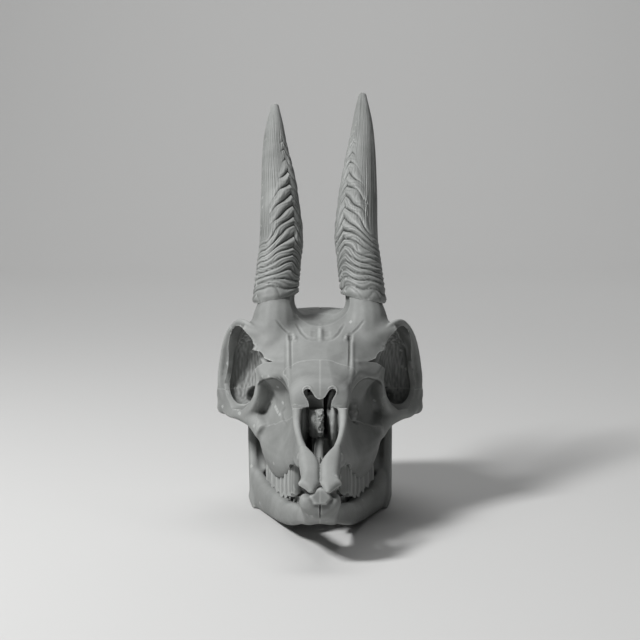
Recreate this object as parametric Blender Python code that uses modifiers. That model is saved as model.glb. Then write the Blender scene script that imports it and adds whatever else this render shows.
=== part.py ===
"""A dik-dik skull with its horns, at life size, lying on its lower jaw.

The face looks along -Y, +Z is up and the floor is at zero. Sizes are in
millimetres until a mesh is made. Left and right are the animal's own:
its left is at +X.
"""

import math

import bmesh
import bpy
import numpy as np
from mathutils import Matrix, Vector

MM = 0.001
SIDES = {"left": 1, "right": -1}

# Driving sizes, in millimetres and degrees
GRAIN = 0.5  # voxel of the fused bone
CREASE = 2.2  # how far creases between bones are filled
SEAM = 0.3  # gap between one bone and the next
SKULL_TRIANGLES = 6400
JAW_TRIANGLES = 800
HORN_BASE = (0, 62.0, 60.4)
HORN_LENGTHS = {"left": 80.0, "right": 75.2}
HORN_RISE = 49.5  # degrees above the floor
HORN_FOOT_RISE = 66.0  # degrees above the floor, where the sheath starts
HORN_BEND = 7.0  # length over which the foot turns into the horn's own slope
HORN_SHORT = 1.4  # length by which the bent foot stays short of the straight one
HORN_TIP_RADIUS = 1.25
HORN_SIDES = 14
# Distance of each horn's middle line from the skull's, from foot to tip
HORN_BOWS = {"left": (12.4, 10.9, 11.8, 13.0, 13.4), "right": (12.7, 11.6, 12.4, 13.8, 14.2)}
HORN_GIRTH = (6.5, 6.3, 6.0, 5.6, 4.9, 4.0, 3.0, HORN_TIP_RADIUS)  # radii, foot to tip
CENTRE_Y = 56.8  # middle of the skull, from the muzzle's tip
TOOTH_ROW = (30.5, 63.0)  # front and back of the upper cheek teeth
OCCLUSION = 10.0  # height at which the cheek teeth meet

BONE = (0.37, 0.38, 0.37, 1)
HORN = (0.33, 0.34, 0.33, 1)


# Curves and meshes


def spline(points, count, closed=False):
    """Points of a smooth curve through the given ones."""
    p = np.array(points, float)
    if closed:
        a, b, c, d = np.roll(p, 1, 0), p, np.roll(p, -1, 0), np.roll(p, -2, 0)
    else:
        full = np.concatenate([[2 * p[0] - p[1]], p, [2 * p[-1] - p[-2]]])
        a, b, c, d = full[:-3], full[1:-2], full[2:-1], full[3:]
    spans = len(b)
    at = np.linspace(0, spans, count, endpoint=not closed)
    i = np.minimum(at.astype(int), spans - 1)
    t = (at - i).reshape((-1,) + (1,) * (p.ndim - 1))
    a, b, c, d = a[i], b[i], c[i], d[i]
    bend = (2 * a - 5 * b + 4 * c - d) * t**2 + (3 * b - a - 3 * c + d) * t**3
    return 0.5 * (2 * b + (c - a) * t + bend)


def new_object(name, mesh):
    """An object for a bmesh, in the scene's own collection."""
    data = bpy.data.meshes.new(name)
    mesh.to_mesh(data)
    mesh.free()
    thing = bpy.data.objects.new(name, data)
    bpy.context.scene.collection.objects.link(thing)
    return thing


def loft(name, rings):
    """A closed solid through rings of points, all rings in the same order."""
    mesh = bmesh.new()
    rows = [[mesh.verts.new(Vector(p) * MM) for p in ring] for ring in rings]
    count = len(rows[0])
    for low, high in zip(rows, rows[1:]):
        for i in range(count):
            j = (i + 1) % count
            mesh.faces.new((low[i], low[j], high[j], high[i]))
    mesh.faces.new(rows[0][::-1])
    mesh.faces.new(rows[-1])
    bmesh.ops.recalc_face_normals(mesh, faces=mesh.faces)
    return new_object(name, mesh)


def ball(name, centre, radii, turn=(0, 0, 0), fine=24):
    """An ellipsoid; turn is its rotation in degrees about X, Y and Z."""
    mesh = bmesh.new()
    spin = Matrix.Identity(4)
    for angle, axis in zip(turn, "XYZ"):
        spin = Matrix.Rotation(math.radians(angle), 4, axis) @ spin
    place = Matrix.Translation(Vector(centre) * MM) @ spin
    place = place @ Matrix.Diagonal((*(r * MM for r in radii), 1))
    bmesh.ops.create_uvsphere(
        mesh, u_segments=fine, v_segments=fine // 2, radius=1, matrix=place
    )
    return new_object(name, mesh)


def tube(name, points, radii, steps=5):
    """A round rod along a smooth curve, whose radius changes on the way."""
    route = spline([(*p, r) for p, r in zip(points, radii)], steps * len(points))
    curve = bpy.data.curves.new(name, "CURVE")
    curve.dimensions = "3D"
    curve.bevel_depth = MM
    curve.bevel_resolution = 3
    curve.use_fill_caps = True
    line = curve.splines.new("POLY")
    line.points.add(len(route) - 1)
    for point, (x, y, z, radius) in zip(line.points, route):
        point.co = (x * MM, y * MM, z * MM, 1)
        point.radius = radius
    rod = bpy.data.objects.new(name, curve)
    bpy.context.scene.collection.objects.link(rod)
    data = bpy.data.meshes.new_from_object(
        rod.evaluated_get(bpy.context.evaluated_depsgraph_get())
    )
    bpy.data.objects.remove(rod)
    mesh = bmesh.new()
    mesh.from_mesh(data)
    bmesh.ops.remove_doubles(mesh, verts=mesh.verts, dist=1e-6)
    bmesh.ops.recalc_face_normals(mesh, faces=mesh.faces)
    return new_object(name, mesh)


def block(name, low, high):
    """A box between two corners."""
    mesh = bmesh.new()
    middle = [(a + b) / 2 * MM for a, b in zip(low, high)]
    size = [(b - a) * MM for a, b in zip(low, high)]
    place = Matrix.Translation(middle) @ Matrix.Diagonal((*size, 1))
    bmesh.ops.create_cube(mesh, size=1, matrix=place)
    return new_object(name, mesh)


def prism(name, outline, low, high):
    """A solid with a side view, given as (y, z) points, from x = low to high."""
    return loft(name, [[(x, y, z) for y, z in outline] for x in (low, high)])


# Joining and cutting


def settled(thing, keep_all=False):
    """Applies the modifiers and keeps only the largest closed surface."""
    graph = bpy.context.evaluated_depsgraph_get()
    data = bpy.data.meshes.new_from_object(thing.evaluated_get(graph))
    mesh = bmesh.new()
    mesh.from_mesh(data)
    bmesh.ops.remove_doubles(mesh, verts=mesh.verts, dist=1e-7)
    left = set(mesh.verts)
    pieces = []
    while left:
        front = [left.pop()]
        piece = list(front)
        while front:
            near = [e.other_vert(v) for v in front for e in v.link_edges]
            front = [v for v in set(near) if v in left]
            left.difference_update(front)
            piece += front
        pieces.append(piece)
    pieces.sort(key=len)
    scraps = [] if keep_all else [v for piece in pieces[:-1] for v in piece]
    bmesh.ops.delete(mesh, geom=scraps, context="VERTS")
    thing.modifiers.clear()
    mesh.to_mesh(data)
    mesh.free()
    thing.data = data
    return thing


def joined(name, things):
    """One object holding the meshes of several, which are removed."""
    mesh = bmesh.new()
    for thing in things:
        mesh.from_mesh(thing.data)
        bpy.data.objects.remove(thing)
    return new_object(name, mesh)


def fuse(name, things, grain=GRAIN, close=0.0, soften=3, keep_all=False):
    """Melts overlapping solids into one skin; close fills creases."""
    whole = joined(name, things)
    if close:
        swell = whole.modifiers.new("swell", "REMESH")
        swell.mode = "VOXEL"
        swell.voxel_size = grain * MM
        for label, amount in (("out", close), ("in", -close)):
            push = whole.modifiers.new(label, "DISPLACE")
            push.strength = amount * MM
            push.mid_level = 0
            again = whole.modifiers.new(label + "_skin", "REMESH")
            again.mode = "VOXEL"
            again.voxel_size = grain * MM
    else:
        skin = whole.modifiers.new("skin", "REMESH")
        skin.mode = "VOXEL"
        skin.voxel_size = grain * MM
    if soften:
        smooth = whole.modifiers.new("soften", "SMOOTH")
        smooth.factor = 0.5
        smooth.iterations = soften
    return settled(whole, keep_all)


def boolean(thing, other, operation="DIFFERENCE", solver="EXACT"):
    """Cuts, joins or crosses a thing with another, which is removed."""
    step = thing.modifiers.new("cut", "BOOLEAN")
    step.operation = operation
    step.object = other
    step.solver = solver
    settled(thing)
    bpy.data.objects.remove(other)
    return thing


def thinned(thing, triangles):
    """Fewer triangles, where the surface bends least."""
    data = thing.data
    count = sum(len(p.vertices) - 2 for p in data.polygons)
    step = thing.modifiers.new("thin", "DECIMATE")
    step.ratio = min(1.0, triangles / count)
    step.use_collapse_triangulate = True
    return settled(thing)


# The upper skull

# Half of each cross-section, by its distance from the muzzle's tip, from the
# middle of the roof round to the middle of the palate: roof, brow line, brow
# edge, under the edge, top of the hollow before the eye, cheek, lower cheek,
# tooth sockets, palate's side, palate
STATIONS = {
    18: [(0, 23.6), (2.4, 23.6), (3.9, 23.3), (4.5, 22.9), (4.7, 22.5),
         (4.6, 22.1), (4.2, 21.7), (3.6, 21.3), (2, 21.2), (0, 21.2)],
    22: [(0, 27), (3, 27), (4.9, 26.6), (5.6, 25.8), (5.9, 24.4),
         (6.1, 22.6), (6.2, 21), (5.7, 19.8), (3, 19.6), (0, 19.8)],
    26: [(0, 31.5), (3.6, 31.4), (5.6, 30.8), (6, 29.6), (6.1, 27.4),
         (6.5, 25), (7, 22.6), (6.6, 20.4), (4, 19.4), (0, 19.4)],
    30: [(0, 40.4), (4.5, 40), (7.6, 38), (7.6, 34.8), (6.4, 31),
         (7, 26), (8.4, 21.6), (8, 18.6), (5, 17.6), (0, 17.6)],
    36: [(0, 42.8), (5.5, 42.2), (8.5, 39), (7.7, 36), (6.8, 31),
         (8.4, 25.4), (10.4, 19.6), (9.2, 15.8), (6.6, 15.8), (0, 16.6)],
    42: [(0, 46), (7, 45), (11, 41.6), (8.4, 38.6), (6.8, 33),
         (9.8, 26), (13.2, 19.4), (10.9, 13.2), (7.6, 14.4), (0, 16)],
    46: [(0, 48.4), (7.8, 47.4), (14.8, 40.6), (11, 37), (9, 31.6),
         (12.4, 25.6), (15, 20), (12, 12.7), (8.4, 14.2), (0, 16)],
    49: [(0, 50), (8.2, 49.2), (17, 42.4), (13.6, 37), (11.4, 31.4),
         (14.4, 25.6), (16.4, 21), (12.9, 12.5), (9, 14.2), (0, 16)],
    53: [(0, 51.6), (9, 51.4), (18.6, 49), (15.6, 42), (13.6, 36),
         (15.4, 28), (17, 22.4), (13.6, 12.6), (9.6, 14.2), (0, 16)],
    57: [(0, 53.2), (10.5, 53), (21, 52.6), (17, 44), (13, 38),
         (15, 30), (17.2, 23), (14.3, 12.8), (10, 14.2), (0, 16)],
    62: [(0, 54.6), (11, 55), (19, 54), (15, 47), (12, 40),
         (14, 32), (16.2, 24), (14.2, 14), (10.4, 14.8), (0, 16.4)],
    68: [(0, 55.8), (11, 56.2), (17, 53), (15.5, 47), (14, 41),
         (13, 34), (12, 27), (11, 20), (8, 18), (0, 18.4)],
    75: [(0, 56.6), (10, 56.2), (16.5, 52.5), (18.4, 47), (18.6, 41),
         (17, 34), (14, 28), (11, 23.5), (7, 21.5), (0, 21.5)],
    83: [(0, 56.4), (10, 55.2), (16.8, 51), (19.6, 46), (20.2, 40),
         (19.2, 33.5), (16.5, 28), (12, 24), (7, 22.5), (0, 22.5)],
    91: [(0, 54.6), (9, 53.4), (15.6, 49.6), (19, 44.6), (20, 39),
         (19.4, 33), (17, 27.6), (12, 24.4), (7, 23.2), (0, 23.2)],
    98: [(0, 51.6), (8, 50.6), (13.6, 47.4), (16.8, 43), (17.8, 38),
         (17, 32.5), (14.5, 27.5), (11, 25), (6.5, 24.2), (0, 24)],
    104: [(0, 48), (7, 47), (11.4, 44.4), (13.8, 40.6), (14.6, 36.6),
          (13.8, 32.4), (11.6, 28.8), (8.8, 26.6), (5, 25.6), (0, 25.4)],
    108: [(0, 44.6), (5.5, 43.8), (8.8, 41.8), (10.4, 39.2), (10.8, 36.4),
          (10.2, 33), (8.8, 30.4), (6.6, 28.6), (3.6, 27.6), (0, 27.4)],
}

# The rim of the left eye socket, from the top round the back, and how much
# of the cup inside it is open at each point
RIM = [(22.7, 58, 54), (27.0, 65, 48.4), (28.7, 68, 41), (30.3, 66.5, 31.6), (26.6, 60.5, 26.6),
       (19.8, 52.5, 29), (16.8, 48.5, 38), (18.6, 53, 47.6)]
RIM_OPEN = [0.93, 0.76, 0.64, 0.56, 0.6, 0.72, 0.85, 0.91]
RIM_CENTRE = Vector((23.7, 59, 40))
SOCKET_INWARD = Vector((-0.8, 0.58, -0.05)).normalized()
# The middle line of the bony peg that carries the left horn
PEDICLE = [(12.4, 59.6, 49), (12.6, 61.6, 54.6), (12.7, 63.6, 59.1), (12.8, 65.6, 63)]


def mirrored(points, side):
    """Points for one side of the head: side is 1 for its left, -1 for its right."""
    return [(x * side, y, z) for x, y, z in points]


def body_loft():
    """Face, forehead and braincase as one smooth form."""
    rings = []
    for y, half in STATIONS.items():
        other = [(-x, z) for x, z in half[-2:0:-1]]
        rings.append([(x, y, z) for x, z in half + other])
    rings = spline(rings, 5 * len(rings))
    return loft("body", [spline(ring, 54, closed=True) for ring in rings])


def socket(name, side, layers, scales=None):
    """A cup along the eye socket: layers are (depth, size) pairs."""
    rings = []
    for depth, size in layers:
        ring = []
        for i, point in enumerate(RIM):
            share = size * (scales[i] if scales else 1)
            place = RIM_CENTRE + (Vector(point) - RIM_CENTRE) * share
            ring.append(place + SOCKET_INWARD * depth)
        rings.append(spline(mirrored(ring, side), 40, closed=True))
    return loft(name, rings)


def skull_masses():
    """Every solid mass of the upper skull, before the cavities are cut."""
    masses = [body_loft()]
    rods = {
        "core": (PEDICLE, [7.4, 6.7, 5.4, 4.8]),
        "brow": ([(8, 57, 50.4), (15, 56, 50), (21.4, 57.6, 51.6)], [3.4, 3.6, 2.4]),
        "arch": ([(27.4, 64, 29.4), (26.6, 72, 28.8), (24.4, 80, 31), (20, 89, 35.6)],
                 [2.4, 2.2, 2.2, 2.6]),
        "jugal": ([(15.2, 51, 24.2), (18.5, 55, 27.2), (23.4, 60.2, 28.6)], [3.0, 2.6, 2.2]),
        "nape": ([(17.4, 95, 36), (13.5, 99.5, 44.5), (6, 102.5, 49), (0, 103.4, 49.8)],
                 [1.8, 1.5, 1.4, 1.4]),
        "spur": ([(14, 97.5, 28), (14, 98, 19), (12.8, 96.5, 11.5)], [3.2, 2.2, 1.0]),
        "wing": ([(6, 62, 17), (6.2, 71, 17), (7, 79, 16)], [1.9, 1.5, 1.0]),
    }
    cup = [(2, 0.45), (0.9, 0.66), (0.1, 0.86), (0.1, 0.94), (0.8, 0.99), (2, 1.0), (4, 0.98),
           (8, 0.9), (12, 0.76), (15, 0.55)]
    for side in SIDES.values():
        masses.append(socket("socket", side, cup))
        for name, (points, radii) in rods.items():
            masses.append(tube(name, mirrored(points, side), radii))
        masses.append(ball("ramp", (12.6 * side, 57, 51), (6.6, 7.5, 3.6), (36, 0, 0)))
        masses.append(ball("bulla", (10.4 * side, 89.5, 19), (5.6, 8.0, 8.2)))
        masses.append(ball("condyle", (5.6 * side, 107.5, 28), (3.8, 4.6, 4.6)))
        masses.append(ball("arch_root", (20.5 * side, 88, 35.2), (4.2, 5.0, 3.2)))
    return masses


def skull_cutters():
    """The hollows that go into the fused masses."""
    cutters = []
    rods = {
        "notch": ([(3, 20, 35.6), (3, 30, 37.3), (3, 36, 38.6)], [1.25] * 3),
        "foramen": ([(19, 62, 33), (15, 67, 29.5), (12, 71, 26.5)], [2.4, 1.9, 1.2]),
        "groove": ([(8.2, 53.6, 51.6), (7.8, 47, 48.2), (7.2, 39, 44.8)], [0.8, 0.65, 0.3]),
    }
    hollow = [(-7, 1.3), (0, 1.02), (1.6, 0.97), (3, 1.04), (7.5, 1.06), (11.5, 0.84), (13.8, 0.4)]
    for side in SIDES.values():
        cutters.append(socket("orbit", side, hollow, RIM_OPEN))
        # between the cheek arch and the braincase
        cutters.append(ball("temporal", (21.2 * side, 77.5, 41), (4.6, 7.0, 14.5),
                            (0, 0, -8 * side)))
        # under the brow, before the eye
        cutters.append(ball("fossa", (13.4 * side, 39.6, 33), (5.6, 7.0, 8.2),
                            (0, 10 * side, -22 * side)))
        for name, (points, radii) in rods.items():
            cutters.append(tube(name, mirrored(points, side), radii))
    # the nose, as (y, half width, floor, roof)
    stages = [(-6, 4.6, 21, 32.5), (8, 4.7, 22.2, 33), (24, 4.8, 21, 34.8), (31, 4.5, 21, 36.2),
              (37, 3.6, 22, 36.8), (42, 2.2, 25, 36)]
    rings = []
    for y, half, low, high in stages:
        outline = [(-1, low + 2), (-0.6, low), (0.6, low), (1, low + 2), (1, high - 2.4),
                   (0.6, high), (-0.6, high), (-1, high - 2.4)]
        rings.append(spline([(x * half, y, z) for x, z in outline], 32, closed=True))
    cutters.append(loft("nose", spline(rings, 24)))
    cutters.append(tube("nape_hole", [(0, 96, 30.4), (0, 104, 31.4), (0, 116, 32)],
                        [4.0, 5.2, 6.2]))
    return cutters


def nose_wall():
    """The plate that stands in the nose, with the gutter before it."""
    wall = [(41, 40), (38, 37), (33, 34), (30.4, 31), (29.6, 26.8), (31, 22), (34, 18.5),
            (46, 18.5), (50, 38)]
    gutter = [(15.4, 19), (16.2, 21.6), (22, 23), (30, 24.6), (34, 24), (34, 18), (24, 17.5),
              (18, 18.4)]
    scrolls = [ball("scroll", (2.1 * side, 38.5, 30), (1.3, 7, 8)) for side in SIDES.values()]
    return [prism("wall", wall, -1.1, 1.1), prism("gutter", gutter, -1, 1), *scrolls]


# The leaf of a premaxilla: y, middle x, half width, middle z, half thickness
LEAF = [(14, 4.4, 0.8, 26.4, 0.9), (12, 4.0, 1.3, 25.7, 1.2), (10, 3.3, 2.0, 24.6, 1.5),
        (8, 2.7, 2.5, 23.4, 1.7), (6, 2.4, 2.55, 22.1, 1.8), (4, 2.3, 2.35, 20.9, 1.7),
        (2.4, 2.5, 2.4, 20.2, 1.2), (1.2, 2.75, 2.6, 19.9, 0.85), (0.4, 2.45, 1.9, 19.6, 0.7),
        (-0.3, 2.2, 1.2, 19.3, 0.5)]


def premaxillae():
    """The two leaf-like bones of the muzzle's tip and their rising strips."""
    rods = {
        "strip": ([(4.2, 11.6, 25.8), (5.2, 16, 28.6), (5.9, 21, 31.2), (5.9, 27, 34.2)],
                  [1.3, 1.1, 1.1, 1.5]),
        "shelf": ([(1.6, 4, 20.4), (1.9, 12, 20.4), (2.4, 20, 20.6), (3, 26, 19.4)],
                  [1.2, 1.1, 1.4, 1.8]),
        "rail": ([(4.2, 9, 23.4), (5.0, 14, 23.8), (5.0, 20, 23.6), (5.4, 24, 23)],
                 [1.2, 1.3, 1.5, 1.6]),
    }
    things = []
    for side in SIDES.values():
        for name, (points, radii) in rods.items():
            things.append(tube(name, mirrored(points, side), radii))
        rings = []
        for y, x, half, z, thick in spline(LEAF, 24):
            ring = []
            for turn in np.linspace(0, 2 * math.pi, 20, endpoint=False):
                c, s = math.cos(turn), math.sin(turn)
                across = math.copysign(abs(c) ** 0.7, c) * half
                ring.append(((x + across) * side, y, z + s * thick))
            rings.append(ring)
        things.append(loft("leaf", rings))
    return things


def whole_skull():
    """The upper skull in one piece, with its cavities cut."""
    skull = fuse("skull", skull_masses(), close=CREASE, soften=4)
    hollows = fuse("hollows", skull_cutters(), soften=2, keep_all=True)
    boolean(skull, hollows, solver="MANIFOLD")
    return fuse("skull", [skull, *nose_wall(), *premaxillae()], soften=3)


# The lower jaw

# Along one half of the jaw: y, middle x, lowest z, highest z, thickness
JAW = [(6, 2.2, 9.4, 14.8, 3.8), (12, 2.6, 7.2, 12.0, 4.0), (20, 4.6, 5.6, 10.2, 3.6),
       (27, 6.6, 3.6, 9.6, 4.4), (34, 8.0, 2.0, 8.2, 5.0), (42, 9.9, 0.8, 7.8, 5.4),
       (50, 12.0, 0.0, 8.0, 5.6), (58, 14.8, -0.3, 8.4, 5.2), (66, 18, -0.3, 11, 4.0),
       (72, 19.2, -0.2, 14, 3.0)]
# Side view of the upright plate behind the teeth, as (y, z)
RAMUS = [(62, 0.6), (70, -0.2), (78, -0.2), (84, 1.2), (87.6, 5), (88.4, 10), (87.4, 16),
         (86.8, 22), (87.4, 27), (86, 29.4), (83.6, 29), (81.6, 28.4), (80, 31), (79.6, 36),
         (80, 39.6), (78.4, 40.6), (76, 36), (74.4, 28), (70.6, 19.5), (65.6, 10)]
# The thick inner side of that plate, above the last teeth
INNER = [(15.6, 68, 9), (16.4, 72, 14), (16.9, 74.6, 20), (17.4, 76.6, 26)]
INNER_RADII = [3.0, 2.4, 1.9, 1.3]
# The chin, where both halves meet: y, half widths above and below, lowest and
# highest z
CHIN = [(-1.0, 2.6, 1.4, 13.4, 15.2), (-0.6, 3.7, 2.0, 12.3, 16.2), (0.2, 4.5, 2.5, 11.6, 17.0),
        (2.2, 4.9, 3.0, 11.0, 17.4), (5.5, 4.6, 3.8, 9.6, 15.6), (10, 4.2, 4.2, 8.0, 12.6),
        (15, 3.8, 4.2, 6.8, 10.8)]
# The worn base of the front teeth, (x, z) as the face shows it: it stands out
# from the chin and leans back upward
WORN = [(-2.3, 17.1), (-1.3, 15.5), (1.4, 15.5), (2.6, 16.9), (1.3, 18.6), (-0.1, 18.9),
        (-1.0, 18.6)]
WORN_CENTRE = (0.15, 17.1)
WORN_LEAN = 0.42


def ramus_x(y, z):
    """How far out the upright plate of the jaw stands."""
    return min(19.8, 18.4 + 0.14 * (y - 62)) + 0.05 * max(0, z - 22)


def chin():
    """The front of the lower jaw, both sides in one."""
    rings = []
    for y, top, foot, low, high in spline(CHIN, 14):
        middle = (low + high) / 2
        half = [(0, high), (0.75 * top, high), (top, high - 0.14 * (high - low)),
                (max(top, foot), middle), (foot, low + 0.12 * (high - low)),
                (0.7 * foot, low), (0, low)]
        other = [(-x, z) for x, z in half[-2:0:-1]]
        ring = [(x, y, z) for x, z in half + other]
        rings.append(spline(ring, 32, closed=True))
    return loft("chin", rings)


def worn_base():
    """The worn base of the front teeth, a faceted knob on the chin."""
    low = WORN[1][1]
    across, level = WORN_CENTRE
    rings = []
    for out, share in ((-1.75, 0.82), (-1.35, 1.0), (1.2, 1.08)):
        rings.append([(across + (x - across) * share, out + WORN_LEAN * (z - low),
                       level + (z - level) * share) for x, z in WORN])
    return loft("worn", rings)


def jaw_half(side):
    """One half of the lower jaw, without its teeth."""
    rings = []
    for y, x, low, high, thick in spline(JAW, 44):
        turn = np.linspace(0, 2 * math.pi, 20, endpoint=False)
        wide = np.sign(np.cos(turn)) * np.abs(np.cos(turn)) ** 0.75 * thick / 2
        tall = np.sign(np.sin(turn)) * np.abs(np.sin(turn)) ** 0.85 * (high - low) / 2
        rings.append([((x + w) * side, y, (low + high) / 2 + t) for w, t in zip(wide, tall)])
    plate = []
    for out, share in ((-1.35, 0.9), (-0.8, 1.0), (0.8, 1.0), (1.35, 0.9)):
        middle = np.mean(RAMUS, axis=0)
        ring = spline(middle + (np.array(RAMUS) - middle) * share, 60, closed=True)
        plate.append([((ramus_x(y, z) + out) * side, y, z) for y, z in ring])
    things = [chin(), worn_base(), loft("bar", rings), loft("plate", plate)]
    things.append(tube("inner", mirrored(INNER, side), INNER_RADII))
    things.append(ball("hinge", (20.9 * side, 85.0, 28.4), (2.4, 2.0, 1.6)))
    jaw = fuse("jaw", things, close=0.9, soften=4)
    floor = block("floor", (-40, -10, -9), (40, 120, 0))
    boolean(jaw, floor)
    low, high = sorted((-9 * side, SEAM / 2 * side))
    return boolean(jaw, block("middle", (low, -10, -5), (high, 30, 40)))


# Teeth


def tooth(name, x, y, low, high, length, width, ribs, side):
    """A cheek tooth standing between two heights, ribbed on its outer face."""
    count = 12
    rings = []
    rise = (high - low) / 3
    for step, swell in enumerate((0.88, 0.98, 1.0, 0.92)):
        ring = []
        for k in range(count):
            turn = 2 * math.pi * k / count
            c, s = math.cos(turn), math.sin(turn)
            across = math.copysign(abs(c) ** 0.6, c) * width / 2
            along = math.copysign(abs(s) ** 0.6, s) * length / 2
            if c > 0.2:
                across += 0.32 * math.cos(2 * math.pi * ribs * along / length)
            ring.append(((x + across * swell) * side, y + along * swell, low + rise * step))
        rings.append(ring)
    return loft(name, rings)


# Cheek teeth from front to back: length, width, ribs of the outer face
CHEEK_TEETH = [(4.4, 2.9, 1), (4.8, 3.6, 1), (5.0, 4.4, 1), (5.9, 5.2, 2), (6.4, 5.6, 2),
               (6.0, 5.2, 2)]


def cheek_teeth(side, inward, low, high, slim, rise=0.0):
    """A row of cheek teeth, between two heights; rise lifts the front roots."""
    row = []
    y = TOOTH_ROW[0]
    for number, (length, width, ribs) in enumerate(CHEEK_TEETH):
        middle = y + length / 2
        outer = 7.3 + 0.25 * (middle - TOOTH_ROW[0])
        x = outer - width / 2 - inward
        root = high + rise * max(0, 44 - middle)
        row.append(tooth(f"tooth_{number}", x, middle, low, root, length * 0.98, width * slim,
                         ribs, side))
        y += length
    return row


# Horns


def climb(share, inner):
    """How strong the rings are: all round at the foot, on the inner side above."""
    high = min(1, max(0, (0.74 - share) / 0.2))
    low = min(1, max(0, (0.26 - share) / 0.08))
    return high * inner + low * (1 - inner)


def horn_route(length, heights):
    """Places and directions along a horn's middle line, in its upright plane.

    The tip lies where a straight horn's would; the foot bends to the peg.
    """
    straight = math.radians(HORN_RISE)
    place = Vector(HORN_BASE[1:]) + Vector((math.cos(straight), math.sin(straight))) * length
    places = [place]
    slopes = [straight]
    shrink = (length - HORN_SHORT) / length
    for high, low in zip(heights[:0:-1], heights[-2::-1]):
        middle = (high + low) / 2
        turned = (HORN_FOOT_RISE - HORN_RISE) * math.exp(-middle / HORN_BEND)
        slope = straight + math.radians(turned)
        step = (high - low) * shrink
        places.append(places[-1] - Vector((math.cos(slope), math.sin(slope))) * step)
        slopes.append(slope)
    return places[::-1], slopes[::-1]


def horn(label):
    """A horn sheath: rings crowd its foot and climb its inner side."""
    side = SIDES[label]
    length = HORN_LENGTHS[label]
    bow = spline([(x,) for x in HORN_BOWS[label]], 101)
    girth = spline([(r,) for r in HORN_GIRTH], 101)
    rows = []
    height = 0.0
    while height < length - 1:
        pitch = 3.1 + 2.6 * min(1, height / 40)
        rows += [(height, 0), (height + 0.5 * pitch, 1)]
        height += pitch
    rows = [row for row in rows if row[0] < length - 1] + [(length, 0)]
    places, slopes = horn_route(length, [height for height, crest in rows])
    rings = []
    for (height, crest), (y, z), slope in zip(rows, places, slopes):
        share = height / length
        up = Vector((0, math.cos(slope), math.sin(slope)))
        front = Vector((0, -up.z, up.y))
        fade = math.exp(-height / 16)
        at = min(100, int(100 * share))
        ring = []
        for k in range(HORN_SIDES):
            turn = 2 * math.pi * k / HORN_SIDES
            inner = 0.5 - 0.5 * math.cos(turn)
            radius = float(girth[at][0]) + (crest - 0.5) * 0.95 * climb(share, inner)
            fold = 3.4 * max(0, math.cos(turn - math.radians(120)))
            fold *= min(1, height / 12) * min(1, 4 * (1 - share)) * (1 - share)
            edge = -fade * (2.6 * math.sin(turn) + 1.4 * math.cos(turn))
            place = Vector((0, y, z)) + up * (fold + edge) + front * (radius * math.sin(turn))
            x = float(bow[at][0]) + radius * math.cos(turn)
            ring.append((x * side, place.y, place.z))
        rings.append(ring)
    return loft("horn", rings)


# Bones and their sutures


def grown(outline, amount):
    """A flat outline, each side of which is moved outward by an amount."""
    points = [Vector(p) for p in outline]
    area = sum(a.x * b.y - a.y * b.x for a, b in zip(points, points[1:] + points[:1]))
    out = []
    for i, point in enumerate(points):
        before = (point - points[i - 1]).normalized()
        after = (points[(i + 1) % len(points)] - point).normalized()
        turned = [Vector((d.y, -d.x)) * math.copysign(1, area) for d in (before, after)]
        corner = turned[0] + turned[1]
        out.append(point + corner * (2 * amount / corner.length_squared))
    return [tuple(p) for p in out]


def side_region(outline, low, high):
    """A function that makes a block seen from the side, grown by an amount."""
    return lambda extra: prism("region", grown(outline, extra), low - extra, high + extra)


def top_region(outline, low, high):
    """The same for an outline seen from above."""

    def make(extra):
        flat = grown(outline, extra)
        return loft("region", [[(x, y, z) for x, y in flat] for z in (low - extra, high + extra)])

    return make


# What each bone takes of the skull: outlines as (y, z), or (x, y) from above
NASAL = [(20, 35), (32, 35), (33, 37.9), (41, 42.1), (41, 60), (20, 60)]
PREMAXILLA = [(-12, 34.7), (29, 34.7), (2.3, 8), (-12, 8)]
UPPER_JAW = [(2.9, 8), (29.3, 34.4), (31, 34), (64, 20), (64, 8)]
CHEEKBONE = [(17.4, 46), (17.4, 68), (21.6, 73), (21.6, 86.5), (40, 86.5), (40, 46)]
WIDE = 40


def regions():
    """Each bone that is parted from the skull, with its region, in order."""
    middle = SEAM / 2
    found = {}
    for label, side in SIDES.items():
        low, high = sorted((middle * side, WIDE * side))
        found["premaxilla_" + label] = side_region(PREMAXILLA, low, high)
        found["nasal_" + label] = side_region(NASAL, low, high)
        flat = [(x * side, y) for x, y in CHEEKBONE]
        found["cheekbone_" + label] = top_region(flat, 21, 34.2)
    found["upper_jaw"] = side_region(UPPER_JAW, -WIDE, WIDE)
    return found


def copied(thing, name):
    """A second object with a mesh of its own."""
    twin = bpy.data.objects.new(name, thing.data.copy())
    bpy.context.scene.collection.objects.link(twin)
    return twin


def parted(skull):
    """The skull's bones, a thin gap apart. The skull's mesh becomes the cranium."""
    bones = {}
    for name, region in regions().items():
        bone = copied(skull, name)
        bones[name] = boolean(bone, region(0), "INTERSECT")
        boolean(skull, region(SEAM))
    skull.name = "cranium"
    return {"cranium": skull, **bones}


def fitted(sheath, cranium, side):
    """A horn sheath hollowed to sit on the skull's peg with a thin gap."""
    low, high = sorted((0, 30 * side))
    peg = boolean(copied(cranium, "peg"), block("near", (low, 40, 46), (high, 80, 75)), "INTERSECT")
    swell = peg.modifiers.new("swell", "DISPLACE")
    swell.strength = 1.6 * SEAM * MM
    swell.mid_level = 0
    return boolean(sheath, settled(peg))


def with_teeth(bone, teeth):
    """A bone with its teeth grown into it."""
    for each in teeth:
        boolean(bone, each, "UNION")
    return bone


def bone_material(name, colour, roughness):
    """A plain finish."""
    material = bpy.data.materials.new(name)
    material.use_nodes = True
    shader = material.node_tree.nodes["Principled BSDF"]
    shader.inputs["Base Color"].default_value = colour
    shader.inputs["Roughness"].default_value = roughness
    return material


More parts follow.
